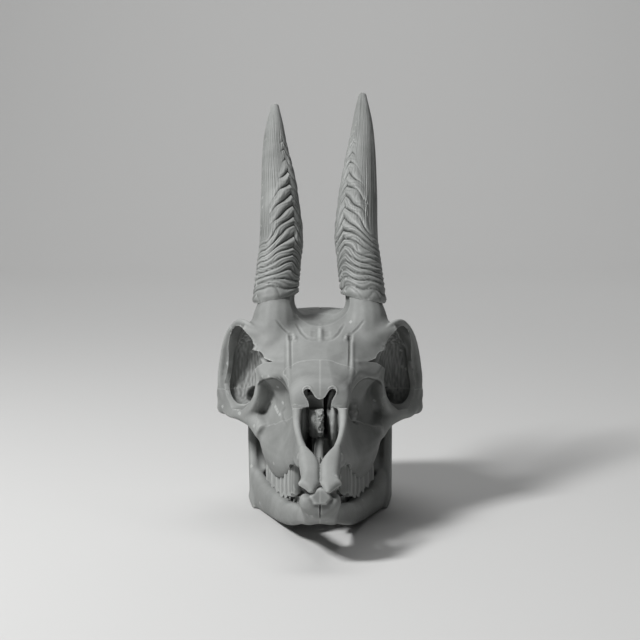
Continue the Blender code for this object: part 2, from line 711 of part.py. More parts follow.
def main():
    for thing in list(bpy.data.objects):
        bpy.data.objects.remove(thing)
    bones = parted(thinned(whole_skull(), SKULL_TRIANGLES))
    for side in SIDES.values():
        with_teeth(bones["upper_jaw"], cheek_teeth(side, 0.0, OCCLUSION, 15.5, 1.0, 0.3))
    for label, side in SIDES.items():
        jaw = thinned(jaw_half(side), JAW_TRIANGLES)
        teeth = cheek_teeth(side, 0.9, 4.5, OCCLUSION - SEAM, 0.7)
        bones["mandible_" + label] = with_teeth(jaw, teeth)
        bones["horn_" + label] = fitted(horn(label), bones["cranium"], side)
    home = bpy.data.collections.new("dik-dik skull")
    bpy.context.scene.collection.children.link(home)
    finishes = {"bone": bone_material("bone", BONE, 0.7), "horn": bone_material("horn", HORN, 0.55)}
    for name, bone in bones.items():
        bone.name = name
        bone.data.transform(Matrix.Translation((0, -CENTRE_Y * MM, 0)))
        bone.data.materials.clear()
        bone.data.materials.append(finishes["horn" if name.startswith("horn") else "bone"])
        bone.data.shade_smooth()
        bone.data.set_sharp_from_angle(angle=math.radians(40))
        home.objects.link(bone)
        bpy.context.scene.collection.objects.unlink(bone)


if __name__ == "__main__":
    main()
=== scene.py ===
"""The looks of a dik-dik skull, at life size: fine bone, horn and tooth surfaces.

The face looks along -Y, +Z is up and the floor is at zero. Sizes are in
millimetres until a mesh is made, and y counts from the muzzle's tip. Left and
right are the animal's own: its left is at +X.
"""

import math

import bmesh
import bpy
import numpy as np
from mathutils import Matrix, Vector, noise
from mathutils.bvhtree import BVHTree


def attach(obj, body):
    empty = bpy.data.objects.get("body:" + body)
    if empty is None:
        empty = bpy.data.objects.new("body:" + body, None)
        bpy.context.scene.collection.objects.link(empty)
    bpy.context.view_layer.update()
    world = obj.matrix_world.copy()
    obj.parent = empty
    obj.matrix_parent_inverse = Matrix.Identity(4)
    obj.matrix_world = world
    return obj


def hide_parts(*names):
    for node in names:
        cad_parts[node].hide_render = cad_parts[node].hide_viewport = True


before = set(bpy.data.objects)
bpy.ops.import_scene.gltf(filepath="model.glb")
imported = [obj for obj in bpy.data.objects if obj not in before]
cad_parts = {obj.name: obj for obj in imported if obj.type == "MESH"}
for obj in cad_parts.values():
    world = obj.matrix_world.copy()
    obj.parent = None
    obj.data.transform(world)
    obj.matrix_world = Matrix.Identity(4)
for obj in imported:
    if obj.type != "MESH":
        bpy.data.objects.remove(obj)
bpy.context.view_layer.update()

MM = 0.001
SIDES = {"left": 1, "right": -1}

# Driving sizes, in millimetres and degrees
GRAIN = 0.3  # voxel of the fused bone
SUTURE = 0.05  # gap between one bone and the next
CENTRE_Y = 56.8  # middle of the skull, from the muzzle's tip
HORN_BASE = (62.0, 60.4)  # y and height of a straight horn's foot
HORN_LENGTHS = {"left": 80.0, "right": 75.2}
HORN_RISE = 49.5  # degrees above the floor
HORN_TIP_RADIUS = 1.25
# Distance of each horn's middle line from the skull's, from foot to tip
HORN_BOWS = {"left": (12.4, 10.9, 11.8, 13.0, 13.4), "right": (12.7, 11.6, 12.4, 13.8, 14.2)}
HORN_GIRTH = (6.5, 6.3, 6.0, 5.6, 4.9, 4.0, 3.0, HORN_TIP_RADIUS)  # radii, foot to tip
TOOTH_ROW = 30.5  # front of the cheek teeth
TOOTH_FACE = 7.3  # distance of their outer faces from the middle, in front
TOOTH_SPREAD = 0.25  # how much that grows for each mm further back

# Curves and meshes


def spline(points, count, closed=False):
    """Points of a smooth curve through the given ones."""
    p = np.array(points, float)
    if closed:
        a, b, c, d = np.roll(p, 1, 0), p, np.roll(p, -1, 0), np.roll(p, -2, 0)
    else:
        full = np.concatenate([[2 * p[0] - p[1]], p, [2 * p[-1] - p[-2]]])
        a, b, c, d = full[:-3], full[1:-2], full[2:-1], full[3:]
    spans = len(b)
    at = np.linspace(0, spans, count, endpoint=not closed)
    i = np.minimum(at.astype(int), spans - 1)
    t = (at - i).reshape((-1,) + (1,) * (p.ndim - 1))
    a, b, c, d = a[i], b[i], c[i], d[i]
    bend = (2 * a - 5 * b + 4 * c - d) * t**2 + (3 * b - a - 3 * c + d) * t**3
    return 0.5 * (2 * b + (c - a) * t + bend)


def placed(name, data):
    """An object for a mesh, curve, lamp or camera, in the scene's own collection."""
    thing = bpy.data.objects.new(name, data)
    bpy.context.scene.collection.objects.link(thing)
    return thing


def full(wave, power):
    """A sine or cosine with fuller tops, for sections with rounded corners."""
    return np.copysign(np.abs(wave) ** power, wave)


def new_object(name, mesh):
    """An object for a bmesh."""
    data = bpy.data.meshes.new(name)
    mesh.to_mesh(data)
    mesh.free()
    return placed(name, data)


def loft(name, rings):
    """A closed solid through rings of points, all rings in the same order."""
    mesh = bmesh.new()
    rows = [[mesh.verts.new(Vector(p) * MM) for p in ring] for ring in rings]
    count = len(rows[0])
    for low, high in zip(rows, rows[1:]):
        for i in range(count):
            j = (i + 1) % count
            mesh.faces.new((low[i], low[j], high[j], high[i]))
    mesh.faces.new(rows[0][::-1])
    mesh.faces.new(rows[-1])
    bmesh.ops.recalc_face_normals(mesh, faces=mesh.faces)
    return new_object(name, mesh)


def ball(name, centre, radii, turn=(0, 0, 0), fine=24):
    """An ellipsoid; turn is its rotation in degrees about X, Y and Z."""
    mesh = bmesh.new()
    spin = Matrix.Identity(4)
    for angle, axis in zip(turn, "XYZ"):
        spin = Matrix.Rotation(math.radians(angle), 4, axis) @ spin
    place = Matrix.Translation(Vector(centre) * MM) @ spin
    place = place @ Matrix.Diagonal((*(r * MM for r in radii), 1))
    bmesh.ops.create_uvsphere(mesh, u_segments=fine, v_segments=fine // 2, radius=1,
                              matrix=place)
    return new_object(name, mesh)


def tube(name, points, radii):
    """A round rod along a smooth curve, whose radius changes on the way."""
    route = spline([(*p, r) for p, r in zip(points, radii)], 6 * len(points))
    curve = bpy.data.curves.new(name, "CURVE")
    curve.dimensions = "3D"
    curve.bevel_depth = MM
    curve.bevel_resolution = 6
    curve.use_fill_caps = True
    line = curve.splines.new("POLY")
    line.points.add(len(route) - 1)
    for point, (x, y, z, radius) in zip(line.points, route):
        point.co = (x * MM, y * MM, z * MM, 1)
        point.radius = radius
    rod = placed(name, curve)
    data = bpy.data.meshes.new_from_object(
        rod.evaluated_get(bpy.context.evaluated_depsgraph_get())
    )
    bpy.data.objects.remove(rod)
    mesh = bmesh.new()
    mesh.from_mesh(data)
    bmesh.ops.remove_doubles(mesh, verts=mesh.verts, dist=1e-6)
    bmesh.ops.recalc_face_normals(mesh, faces=mesh.faces)
    return new_object(name, mesh)


def prism(name, outline, low, high):
    """A solid with a side view, given as (y, z) points, from x = low to high."""
    return loft(name, [[(x, y, z) for y, z in outline] for x in (low, high)])


def block(name, low, high):
    """A box between two corners."""
    (a, b, c), (d, e, f) = low, high
    return prism(name, [(b, c), (e, c), (e, f), (b, f)], a, d)


# Joining and cutting


def piece_labels(data):
    """For each vertex of a mesh, the lowest vertex that it is joined to by edges."""
    ends = np.empty(2 * len(data.edges), int)
    data.edges.foreach_get("vertices", ends)
    first, second = ends[::2], ends[1::2]
    label = np.arange(len(data.vertices))
    while True:
        low = np.minimum(label[first], label[second])
        fresh = label.copy()
        np.minimum.at(fresh, first, low)
        np.minimum.at(fresh, second, low)
        fresh = fresh[fresh]
        if np.array_equal(fresh, label):
            return label
        label = fresh


def vectors(rows, field):
    """One vector of each row of a mesh's table, as an array."""
    found = np.empty(3 * len(rows))
    rows.foreach_get(field, found)
    return found.reshape(-1, 3)


def settled(thing, whole=False):
    """Applies the modifiers; whole keeps only the largest closed surface."""
    graph = bpy.context.evaluated_depsgraph_get()
    data = bpy.data.meshes.new_from_object(thing.evaluated_get(graph))
    thing.modifiers.clear()
    if whole:
        label = piece_labels(data)
        names, counts = np.unique(label, return_counts=True)
        scraps = np.flatnonzero(label != names[counts.argmax()])
        mesh = bmesh.new()
        mesh.from_mesh(data)
        mesh.verts.ensure_lookup_table()
        bmesh.ops.delete(mesh, geom=[mesh.verts[i] for i in scraps], context="VERTS")
        bmesh.ops.remove_doubles(mesh, verts=mesh.verts, dist=1e-7)
        mesh.to_mesh(data)
        mesh.free()
    thing.data = data
    return thing


def joined(name, things):
    """One object holding the meshes of several, which are removed."""
    mesh = bmesh.new()
    for thing in things:
        mesh.from_mesh(thing.data)
        bpy.data.objects.remove(thing)
    return new_object(name, mesh)


def push(thing, amount):
    """Moves a thing's skin out by an amount, with a modifier."""
    step = thing.modifiers.new("push", "DISPLACE")
    step.strength = amount * MM
    step.mid_level = 0


def smooth(thing, passes):
    """Smooths a thing's skin, with a modifier."""
    step = thing.modifiers.new("smooth", "SMOOTH")
    step.factor = 0.5
    step.iterations = passes
    return step


def fuse(name, things, close=0.0, soften=3):
    """Melts overlapping solids into one skin; close fills creases."""
    whole = joined(name, things)
    for amount in (0, close, -close) if close else (0,):
        if amount:
            push(whole, amount)
        skin = whole.modifiers.new("skin", "REMESH")
        skin.mode = "VOXEL"
        skin.voxel_size = GRAIN * MM
    smooth(whole, soften)
    return settled(whole)


def boolean(thing, other, operation="DIFFERENCE", solver="MANIFOLD"):
    """Cuts, joins or crosses a thing with another, which is removed."""
    step = thing.modifiers.new("cut", "BOOLEAN")
    step.operation = operation
    step.object = other
    step.solver = solver
    settled(thing)
    bpy.data.objects.remove(other)
    return thing


# The upper skull

# The skull's cross-sections, by their distance from the muzzle's tip: the heights
# of the roof and of the palate in the middle, and the side between them as brow
# line, brow edge, under the edge, top of the hollow before the eye, cheek, lower
# cheek, tooth sockets and palate's side
STATIONS = {
    18: (23.6, 21.2, [(2.4, 23.6), (3.9, 23.3), (4.5, 22.9), (4.7, 22.5), (4.6, 22.1), (4.2, 21.7),
        (3.6, 21.3), (2, 21.2)]),
    22: (27, 19.8, [(3, 27), (4.9, 26.6), (5.6, 25.8), (5.9, 24.4), (6.1, 22.6), (6.2, 21),
        (5.7, 19.8), (3, 19.6)]),
    26: (31.5, 19.4, [(3.6, 31.4), (5.6, 30.8), (6, 29.6), (6.1, 27.4), (6.5, 25), (7, 22.6),
        (6.6, 20.4), (4, 19.4)]),
    30: (40.4, 17.6, [(4.5, 40), (7.6, 38), (7.6, 34.8), (6.4, 31), (7, 26), (8.4, 21.6),
        (8, 18.6), (5, 17.6)]),
    36: (42.8, 16.6, [(5.5, 42.2), (8.5, 39), (7.7, 36), (6.8, 31), (8.4, 25.4), (10.4, 19.6),
        (9.2, 15.8), (6.6, 15.8)]),
    42: (46, 16, [(7, 45), (11, 41.6), (8.4, 38.6), (6.8, 33), (9.8, 26), (13.2, 19.4),
        (10.9, 13.2), (7.6, 14.4)]),
    46: (48.4, 16, [(7.8, 47.4), (14.8, 40.6), (11, 37), (9, 31.6), (12.4, 25.6), (15, 20),
        (12, 12.7), (8.4, 14.2)]),
    49: (50, 16, [(8.2, 49.2), (17, 42.4), (13.6, 37), (11.4, 31.4), (14.4, 25.6), (16.4, 21),
        (12.9, 12.5), (9, 14.2)]),
    53: (51.6, 16, [(9, 51.4), (18.6, 49), (15.6, 42), (13.6, 36), (15.4, 28), (17, 22.4),
        (13.6, 12.6), (9.6, 14.2)]),
    57: (53.2, 16, [(10.5, 53), (21, 52.6), (17, 44), (13, 38), (15, 30), (17.2, 23), (14.3, 12.8),
        (10, 14.2)]),
    62: (54.6, 16.4, [(11, 55), (19, 54), (15, 47), (12, 40), (14, 32), (16.2, 24), (14.2, 14),
        (10.4, 14.8)]),
    68: (55.8, 18.4, [(11, 56.2), (17, 53), (15.5, 47), (14, 41), (13, 34), (12, 27), (11, 20),
        (8, 18)]),
    75: (56.6, 21.5, [(10, 56.2), (16.5, 52.5), (18.4, 47), (18.6, 41), (17, 34), (14, 28),
        (11, 23.5), (7, 21.5)]),
    83: (56.4, 22.5, [(10, 55.2), (16.8, 51), (19.6, 46), (20.2, 40), (19.2, 33.5), (16.5, 28),
        (12, 24), (7, 22.5)]),
    91: (54.6, 23.2, [(9, 53.4), (15.6, 49.6), (19, 44.6), (20, 39), (19.4, 33), (17, 27.6),
        (12, 24.4), (7, 23.2)]),
    98: (51.6, 24, [(8, 50.6), (13.6, 47.4), (16.8, 43), (17.8, 38), (17, 32.5), (14.5, 27.5),
        (11, 25), (6.5, 24.2)]),
    104: (48, 25.4, [(7, 47), (11.4, 44.4), (13.8, 40.6), (14.6, 36.6), (13.8, 32.4), (11.6, 28.8),
        (8.8, 26.6), (5, 25.6)]),
    108: (44.6, 27.4, [(5.5, 43.8), (8.8, 41.8), (10.4, 39.2), (10.8, 36.4), (10.2, 33),
        (8.8, 30.4), (6.6, 28.6), (3.6, 27.6)]),
}

# The rim of the left eye socket, from the top round the back, and how much
# of the cup inside it is open at each point
RIM = [(22.7, 58, 54), (27.0, 65, 48.4), (28.7, 68, 41), (30.3, 66.5, 31.6), (26.6, 60.5, 26.6),
       (19.8, 52.5, 29), (16.8, 48.5, 38), (18.6, 53, 47.6)]
RIM_OPEN = [0.82, 0.74, 0.65, 0.62, 0.68, 0.77, 0.85, 0.87]
RIM_CENTRE = Vector((23.7, 59, 40))
SOCKET_INWARD = Vector((-0.8, 0.58, -0.05)).normalized()
# The middle line of the bony peg that carries the left horn
PEDICLE = [(12.4, 59.6, 49), (12.5, 61.6, 54.6), (12.2, 63.6, 59.1), (11.8, 65.6, 63)]


def mirrored(points, side):
    """Points for one side of the head: side is 1 for its left, -1 for its right."""
    return [(x * side, y, z) for x, y, z in points]


def tubes(rods, side=1):
    """The named rods, given as points and radii, on one side of the head."""
    return [tube(name, mirrored(points, side), radii) for name, (points, radii) in rods.items()]


def both_halves(half):
    """A section that is the same on both sides, from its half: (x, z), roof to foot."""
    return half + [(-x, z) for x, z in half[-2:0:-1]]


def body_loft():
    """Face, forehead and braincase as one smooth form."""
    rings = []
    for y, (roof, palate, bend) in STATIONS.items():
        half = [(0, roof), *bend, (0, palate)]
        rings.append([(x, y, z) for x, z in both_halves(half)])
    rings = spline(rings, 5 * len(rings))
    return loft("body", [spline(ring, 54, closed=True) for ring in rings])


def socket(name, side, layers, scales=None):
    """A cup along the eye socket: layers are (depth, size) pairs."""
    rings = []
    for depth, size in layers:
        ring = []
        for i, point in enumerate(RIM):
            share = size * (scales[i] if scales else 1)
            place = RIM_CENTRE + (Vector(point) - RIM_CENTRE) * share
            ring.append(place + SOCKET_INWARD * depth)
        rings.append(spline(mirrored(ring, side), 40, closed=True))
    return loft(name, rings)


# The opening of the left eye socket as the face shows it, (x, z) from its top
# round the brow's broken edge, the rim's foot and back up the outer side, with
# the width of the bevel outside it
SOCKET_OPENING = [
    (22.9, 53.1, 0), (22.2, 52.8, 0), (21.2, 52.1, 0), (20.3, 51.0, 0), (19.6, 49.7, 0),
    (19.1, 48.4, 0), (19.0, 47.5, 0), (19.5, 46.9, 0), (18.6, 46.9, 0), (17.7, 46.7, 0),
    (17.1, 45.9, 0), (16.7, 45.1, 0), (15.9, 44.7, 0), (14.9, 44.4, 0), (15.9, 44.1, 0),
    (16.5, 43.8, 0), (17.0, 43.1, 0), (17.8, 42.3, 0), (18.4, 41.7, 0), (18.2, 40.9, 0),
    (17.9, 40.3, 0), (18.1, 39.2, 0.3), (18.5, 37.1, 0.5), (19.3, 34.7, 0.8), (20.7, 32.5, 1.2),
    (22.6, 31.1, 1.6), (24.6, 31.0, 1.8), (26.1, 32.9, 1.7), (26.8, 36.0, 1.3), (26.9, 39.5, 1.0),
    (26.7, 42.4, 0.8), (26.2, 46.4, 0.6), (25.5, 49.4, 0.4), (24.6, 51.8, 0.3), (23.7, 52.9, 0.1),
]
# Its cutter's rings: the share of the bevel, and how far behind the rim, if not in front
OPENING_RINGS = ((1, None), (1, 0.2), (0.4, 1.0), (0, 2.0), (0, 3.0))
# The face of a socket's rim: its inner edge, how fast it runs back outward, and
# below which height it comes forward, and how fast
RIM_EDGE_X, RIM_EDGE_Y = 16.8, 48.5
RIM_SWEEP = 1.64
RIM_FOOT_Z, RIM_FOOT_SWEEP = 36, 0.35


def rim_plane(x, z):
    """How far back the face of an eye socket's rim lies."""
    back = RIM_EDGE_Y + RIM_SWEEP * (abs(x) - RIM_EDGE_X)
    return back - RIM_FOOT_SWEEP * max(0, RIM_FOOT_Z - z)


def skull_masses():
    """Every solid mass of the upper skull but the horns' roots."""
    masses = [body_loft()]
    rods = {
        "arch": ([(27.4, 64, 29.4), (26.6, 72, 28.8), (24.4, 80, 31), (20, 89, 35.6)],
                 [2.4, 2.1, 2.1, 2.6]),
        "jugal": ([(15.2, 51, 24.2), (18.5, 55, 27.2), (23.4, 60.2, 28.6)], [3.0, 2.6, 2.2]),
        "nape": ([(17.4, 95, 36), (13.5, 99.5, 44.5), (6, 102.5, 49), (0, 103.4, 49.8)],
                 [1.8, 1.5, 1.4, 1.4]),
        "spur": ([(14, 97.5, 28), (14, 98, 19), (12.8, 96.5, 11.5)], [3.2, 2.2, 1.0]),
        "wing": ([(6, 62, 17), (6.2, 71, 17), (7, 79, 16)], [1.9, 1.5, 1.0]),
    }
    cup = [(2, 0.45), (0.9, 0.66), (0.2, 0.84), (0, 0.92), (0.3, 0.97), (1.2, 1.0), (2.4, 0.99),
           (4, 0.97), (8, 0.9), (12, 0.76), (15, 0.55)]
    for side in SIDES.values():
        masses += [socket("socket", side, cup), *tubes(rods, side)]
        masses.append(ball("bulla", (10.4 * side, 89.5, 19), (5.6, 8.0, 8.2)))
        masses.append(ball("condyle", (5.6 * side, 107.5, 28), (3.8, 4.6, 4.6)))
        masses.append(ball("arch_root", (20.5 * side, 88, 35.2), (4.2, 5.0, 3.2)))
    return masses


def crown():
    """The pegs under the horns, melted into the forehead with wide fillets."""
    front = block("above", (-40, 44, 44), (40, 86, 70))
    top = boolean(body_loft(), front, "INTERSECT", "EXACT")
    masses = [top]
    rods = {
        "core": (PEDICLE, [7.4, 6.7, 5.4, 4.8]),
        "brow": ([(8, 57, 50.4), (15, 56, 50), (21.4, 57.6, 51.8)], [3.4, 3.4, 2.2]),
    }
    for side in SIDES.values():
        masses += tubes(rods, side)
        masses.append(ball("ramp", (12.6 * side, 57, 50.8), (6.6, 7.5, 3.6), (36, 0, 0)))
    return fuse("crown", masses, close=3.0, soften=8)


def soft_cutters():
    """Hollows with rounded edges."""
    cutters = []
    hollow = [(1.9, 0.94), (2.9, 1.1), (4.6, 1.1), (6.8, 0.92), (8.4, 0.45)]
    for side in SIDES.values():
        cutters.append(socket("orbit", side, hollow, RIM_OPEN))
        cutters.append(ball("temporal", (21.2 * side, 79.4, 41), (4.6, 6.6, 14.5),
                            (0, 0, -8 * side)))
        foramen = [(21.8, 62, 34.4), (17.5, 66.5, 31.8), (13, 71, 29)]
        cutters.append(tube("foramen", mirrored(foramen, side), [2.3, 2.1, 1.4]))
    # the nose, as (y, half width, floor, roof)
    stages = [(-6, 4.6, 21, 32.5), (8, 4.7, 22.2, 33), (24, 4.8, 21, 34.4), (28.6, 4.8, 21, 34.7),
              (30, 4.9, 21, 36.6), (31.6, 4.9, 21, 39.2), (37, 4.2, 22, 39.4), (43, 2.6, 25, 38.6)]
    rings = []
    for y, half, low, high in stages:
        outline = [(-1, low + 2), (-0.6, low), (0.6, low), (1, low + 2), (1, high - 1.6),
                   (0.7, high), (-0.7, high), (-1, high - 1.6)]
        rings.append(spline([(x * half, y, z) for x, z in outline], 32, closed=True))
    cutters.append(loft("nose", spline(rings, 32)))
    cutters.append(tube("nape_hole", [(0, 96, 30.4), (0, 104, 31.4), (0, 116, 32)],
                        [4.0, 5.2, 6.2]))
    cutters.append(ball("crown_dip", (0, 60, 60), (8.4, 11.5, 6.8), (10, 0, 0), 48))
    return cutters


def skin_tree(thing):
    """A search tree of a thing's surface."""
    return BVHTree.FromObject(thing, bpy.context.evaluated_depsgraph_get())


def front_y(tree, x, z):
    """Where the surface lies that the face shows at (x, z)."""
    hit = tree.ray_cast(Vector((x, -40, z)) * MM, Vector((0, 1, 0)))[0]
    return hit.y / MM


# The brow's overhanging edge over the hollow before the eye, (x, z) from the
# nose to the eye's rim, with the hollow's depth under it and the length that it
# fades over below
BROW_EDGE = [(7.9, 35, 0, 7), (8.4, 36.2, 0.9, 8), (9.0, 37.2, 1.8, 9), (9.7, 38.2, 2.5, 10),
             (10.6, 39.2, 3.1, 10), (11.8, 40.0, 3.4, 10), (13.1, 40.2, 3.2, 10),
             (14.4, 39.8, 2.4, 10), (15.5, 39.4, 1.5, 9), (16.6, 38.7, 0.7, 7), (17.6, 37.4, 0, 5)]


def sink_fossa(place, normal, tree):
    """Pushes the cheek back under the brow's edge, deepest just below it."""
    edge_x, edge_z, depth, fade = np.array(BROW_EDGE).T
    across = np.abs(place[:, 0])
    below = np.interp(across, edge_x, edge_z) - place[:, 2]
    share = below / np.interp(across, edge_x, fade)
    amount = np.interp(across, edge_x, depth) * np.clip(1 - share, 0, 1) ** 1.5
    amount *= np.clip(below / 0.5, 0, 1)
    inside = (across > edge_x[0]) & (across < edge_x[-1]) & (share > 0) & (share < 1)
    for i in np.flatnonzero(inside & (normal[:, 1] < -0.1)):
        if abs(front_y(tree, place[i][0], place[i][2]) - place[i][1]) < 0.5:
            place[i][1] += amount[i]


# The nasal bones' lower edge in front, (x, z) from the left flange to the middle
NASAL_EDGE = [(2.75, 33.6), (2.86, 34.9), (3.15, 36.2), (3.9, 37.4), (4.3, 38.3), (4.0, 39.0),
              (3.3, 39.3), (2.5, 39.0), (1.9, 38.2), (1.35, 37.3), (0.7, 36.8), (0, 36.65)]
# The bead that borders the left notch, with its radii
NASAL_LIP = [(4.1, 37.2), (4.45, 38.3), (4.1, 39.1), (3.3, 39.45), (2.4, 39.1), (1.75, 38.2)]
NASAL_LIP_RADII = [0.25, 0.4, 0.45, 0.45, 0.4, 0.25]


def sharp_cutters():
    """Hollows whose edges stay crisp: the sockets' broken brow and the nasal notches."""
    cutters = []
    for side in SIDES.values():
        rings = []
        for bevel, behind in OPENING_RINGS:
            ring = []
            for i, (x, z, width) in enumerate(SOCKET_OPENING):
                before = SOCKET_OPENING[i - 1]
                after = SOCKET_OPENING[(i + 1) % len(SOCKET_OPENING)]
                along = Vector((after[0] - before[0], after[1] - before[1])).normalized()
                wide = x + along.y * width * bevel
                tall = z - along.x * width * bevel
                if behind is None:
                    ring.append((wide * side, 34, tall))
                else:
                    place = Vector((wide, rim_plane(x, z), tall)) + SOCKET_INWARD * behind
                    ring.append((place.x * side, place.y, place.z))
            rings.append(ring)
        cutters.append(loft("opening", rings))
    edge = NASAL_EDGE + [(-x, z) for x, z in NASAL_EDGE[-2::-1]]
    cutters.append(loft("notch", [[(x, y, z) for x, z in edge] for y in (12, 32.5)]))
    return cutters


def nose_wall():
    """The plates and scrolls that stand in the nose, and the gutter before them."""
    column = [(46, 38.6), (33.4, 38.2), (31, 35), (30.2, 31), (30.4, 27), (31, 26.2), (46, 25)]
    sheet = [(32.6, 26.6), (31.4, 25.6), (32.4, 21), (34, 18.5), (46, 18.5), (46, 28)]
    rods = {
        "front": ([(-1.1, 32.6, 37), (-1.1, 30.6, 33), (-1.1, 30.2, 29.5), (-1.1, 30.8, 26.6)],
                  [1.9, 1.9, 1.9, 1.7]),
        "strip": ([(0, 31.2, 36.8), (0, 28.8, 33.5), (0, 28.3, 29.5), (0, 29, 26.9)],
                  [0.85, 0.9, 0.9, 0.85]),
        "ridge": ([(-0.4, 13, 20.6), (-0.4, 19, 22.6), (-0.3, 26, 24.4), (-0.2, 31, 25)],
                  [1.2, 1.25, 1.2, 1.3]),
    }
    curl = {"curl": ([(3.9, 33.6, 39.6), (4.2, 33.4, 38), (3.9, 33.2, 36.4), (3.2, 33, 35)],
                     [0.9, 1.0, 0.9, 0.6])}
    things = [prism("column", column, -2.6, 0.9), prism("sheet", sheet, -2.2, 4.8), *tubes(rods)]
    for x, y, wide in ((3.5, 36, 2.0), (-4.7, 36.4, 1.9)):
        things.append(ball("scroll", (x, y, 30.2), (wide, 8.0, 8.8)))
    for side in SIDES.values():
        things += tubes(curl, side)
    return things


# The bar round the outside of an eye socket, from the brow to the cheek
RIM_BAR = [(18.2, 55.4, 52.4), (20.8, 57.4, 53.9), (23.2, 60.2, 53.9), (25.5, 63.2, 51.2),
           (27.1, 65.8, 47), (28.1, 67.2, 41.5), (28.5, 66.8, 36), (27.4, 64.4, 31.2)]
RIM_BAR_RADII = [0.8, 0.85, 0.9, 0.95, 1.0, 1.05, 1.1, 1.0]

# The leaf of a premaxilla: y, middle x, half width, middle z, half thickness
LEAF = [(14, 4.4, 0.8, 26.4, 0.9), (12, 4.0, 1.3, 25.7, 1.2), (10, 3.3, 2.0, 24.6, 1.5),
        (8, 2.7, 2.5, 23.4, 1.7), (6, 2.4, 2.55, 22.1, 1.8), (4, 2.3, 2.35, 20.9, 1.7),
        (2.4, 2.5, 2.4, 20.2, 1.2), (1.2, 2.75, 2.6, 19.8, 0.85), (0.4, 2.45, 1.9, 19.3, 0.75),
        (-0.3, 2.15, 1.1, 18.6, 0.6), (-0.8, 2.05, 0.5, 18.0, 0.35)]


def slender_bones():
    """The muzzle's leaf-like bones with their rising strips, and the sockets' bars."""
    rods = {
        "strip": ([(4.2, 12.6, 26.4), (5.2, 16, 28.6), (5.9, 21, 31.2), (6.0, 27, 34)],
                  [1.0, 0.85, 0.95, 1.3]),
        "shelf": ([(1.6, 6, 20), (2.2, 12, 20.2), (2.8, 20, 20.4), (3.4, 26, 19.4)],
                  [0.9, 0.9, 1.2, 1.6]),
        "rail": ([(4.4, 11, 24.4), (4.8, 15, 23.6), (4.8, 20, 23.2), (4.6, 24, 22.8)],
                 [1.1, 1.1, 1.1, 1.1]),
        "rim": (RIM_BAR, RIM_BAR_RADII),
    }
    things = []
    for side in SIDES.values():
        things += tubes(rods, side)
        rings = []
        for y, x, half, z, thick in spline(LEAF, 40):
            turn = np.linspace(0, 2 * math.pi, 24, endpoint=False)
            c, s = np.cos(turn), np.sin(turn)
            lift = s * thick + 0.35 * s * s
            rings.append(np.stack([(x + full(c, 0.7) * half) * side, y - 0.25 * s, z + lift], 1))
        things.append(loft("leaf", rings))
    return things


# Fine lines and bumps of the skin. Each is a list of points in the plane that
# a view shows, with its half width and depth; a bump has a negative depth
FRONT_LINES = [
    # the forehead's long grooves, the step beside them and the ridge outside
    ([(8.3, 50.8), (8.2, 48.6), (8.1, 46), (7.9, 43.4)], 0.45, 0.3),
    ([(8.9, 50.6), (8.8, 47), (8.7, 43), (8.3, 40)], 0.8, -0.16),
    ([(8.3, 51.2), (8.25, 49.8)], 0.8, 0.45),
    ([(7.3, 50.8), (6.9, 50)], 0.8, -0.35),
    ([(12.2, 55), (10.4, 52.8), (8.6, 51.3)], 0.4, 0.16),
    # the border of the crown's hollow and the dents beside its middle bump
    ([(6.6, 53.6), (5.2, 51.6), (3.6, 50.4)], 0.45, 0.22),
    ([(3.8, 50.5), (2, 50.1), (0.6, 50.1)], 0.5, 0.15),
    ([(1.75, 52.2), (1.85, 50.7)], 1.1, 0.2),
    ([(0, 52.6), (0, 51.4), (0, 50.2)], 1.0, -0.55),
    # cheek: a faint oval, the margin of the tooth sockets
    ([(9.6, 31.5), (10.4, 30.4), (10.2, 28.8), (9.2, 28)], 0.55, 0.14),
]
ONE_SIDED_LINES = [
    # the nerve's opening before the animal's left eye, under a bright swelling
    ([(8.4, 33.2), (8.1, 31), (8.8, 28.9), (10.2, 27.6)], 0.5, 0.45),
    ([(9.3, 33), (9.2, 31), (9.9, 29.4)], 1.1, -0.5),
    # the valley beside the nose on the left
    ([(4.6, 47), (5.4, 44), (6.2, 41.4), (7, 39.4)], 3.2, 0.45),
]
TOP_LINES = [
    # seams across the braincase, along its middle and round the nape
    ([(0, 73.4), (2, 72.8), (3.4, 73.8), (5.2, 73), (7, 74.2), (9, 73.6), (11, 75), (13.6, 74.6),
      (15.4, 76)], 0.4, 0.3),
    ([(0, 73.4), (0.25, 76), (-0.2, 79), (0.2, 82), (-0.15, 85), (0.1, 88)], 0.35, 0.28),
    ([(0, 88), (2.4, 89.2), (4.4, 88.8), (6.8, 90.6), (9.6, 91), (12.4, 92.8)], 0.4, 0.3),
    ([(12.6, 68), (11.8, 73), (11.6, 79), (10, 86), (7.4, 92), (3.4, 96)], 0.7, -0.28),
]
SIDE_LINES = [
    # the seams of the temple bone
    ([(76, 38), (79, 42), (84, 44.4), (89, 43.6), (93, 40)], 0.4, 0.3),
    ([(70, 47), (74, 44), (76, 38)], 0.4, 0.25),
]


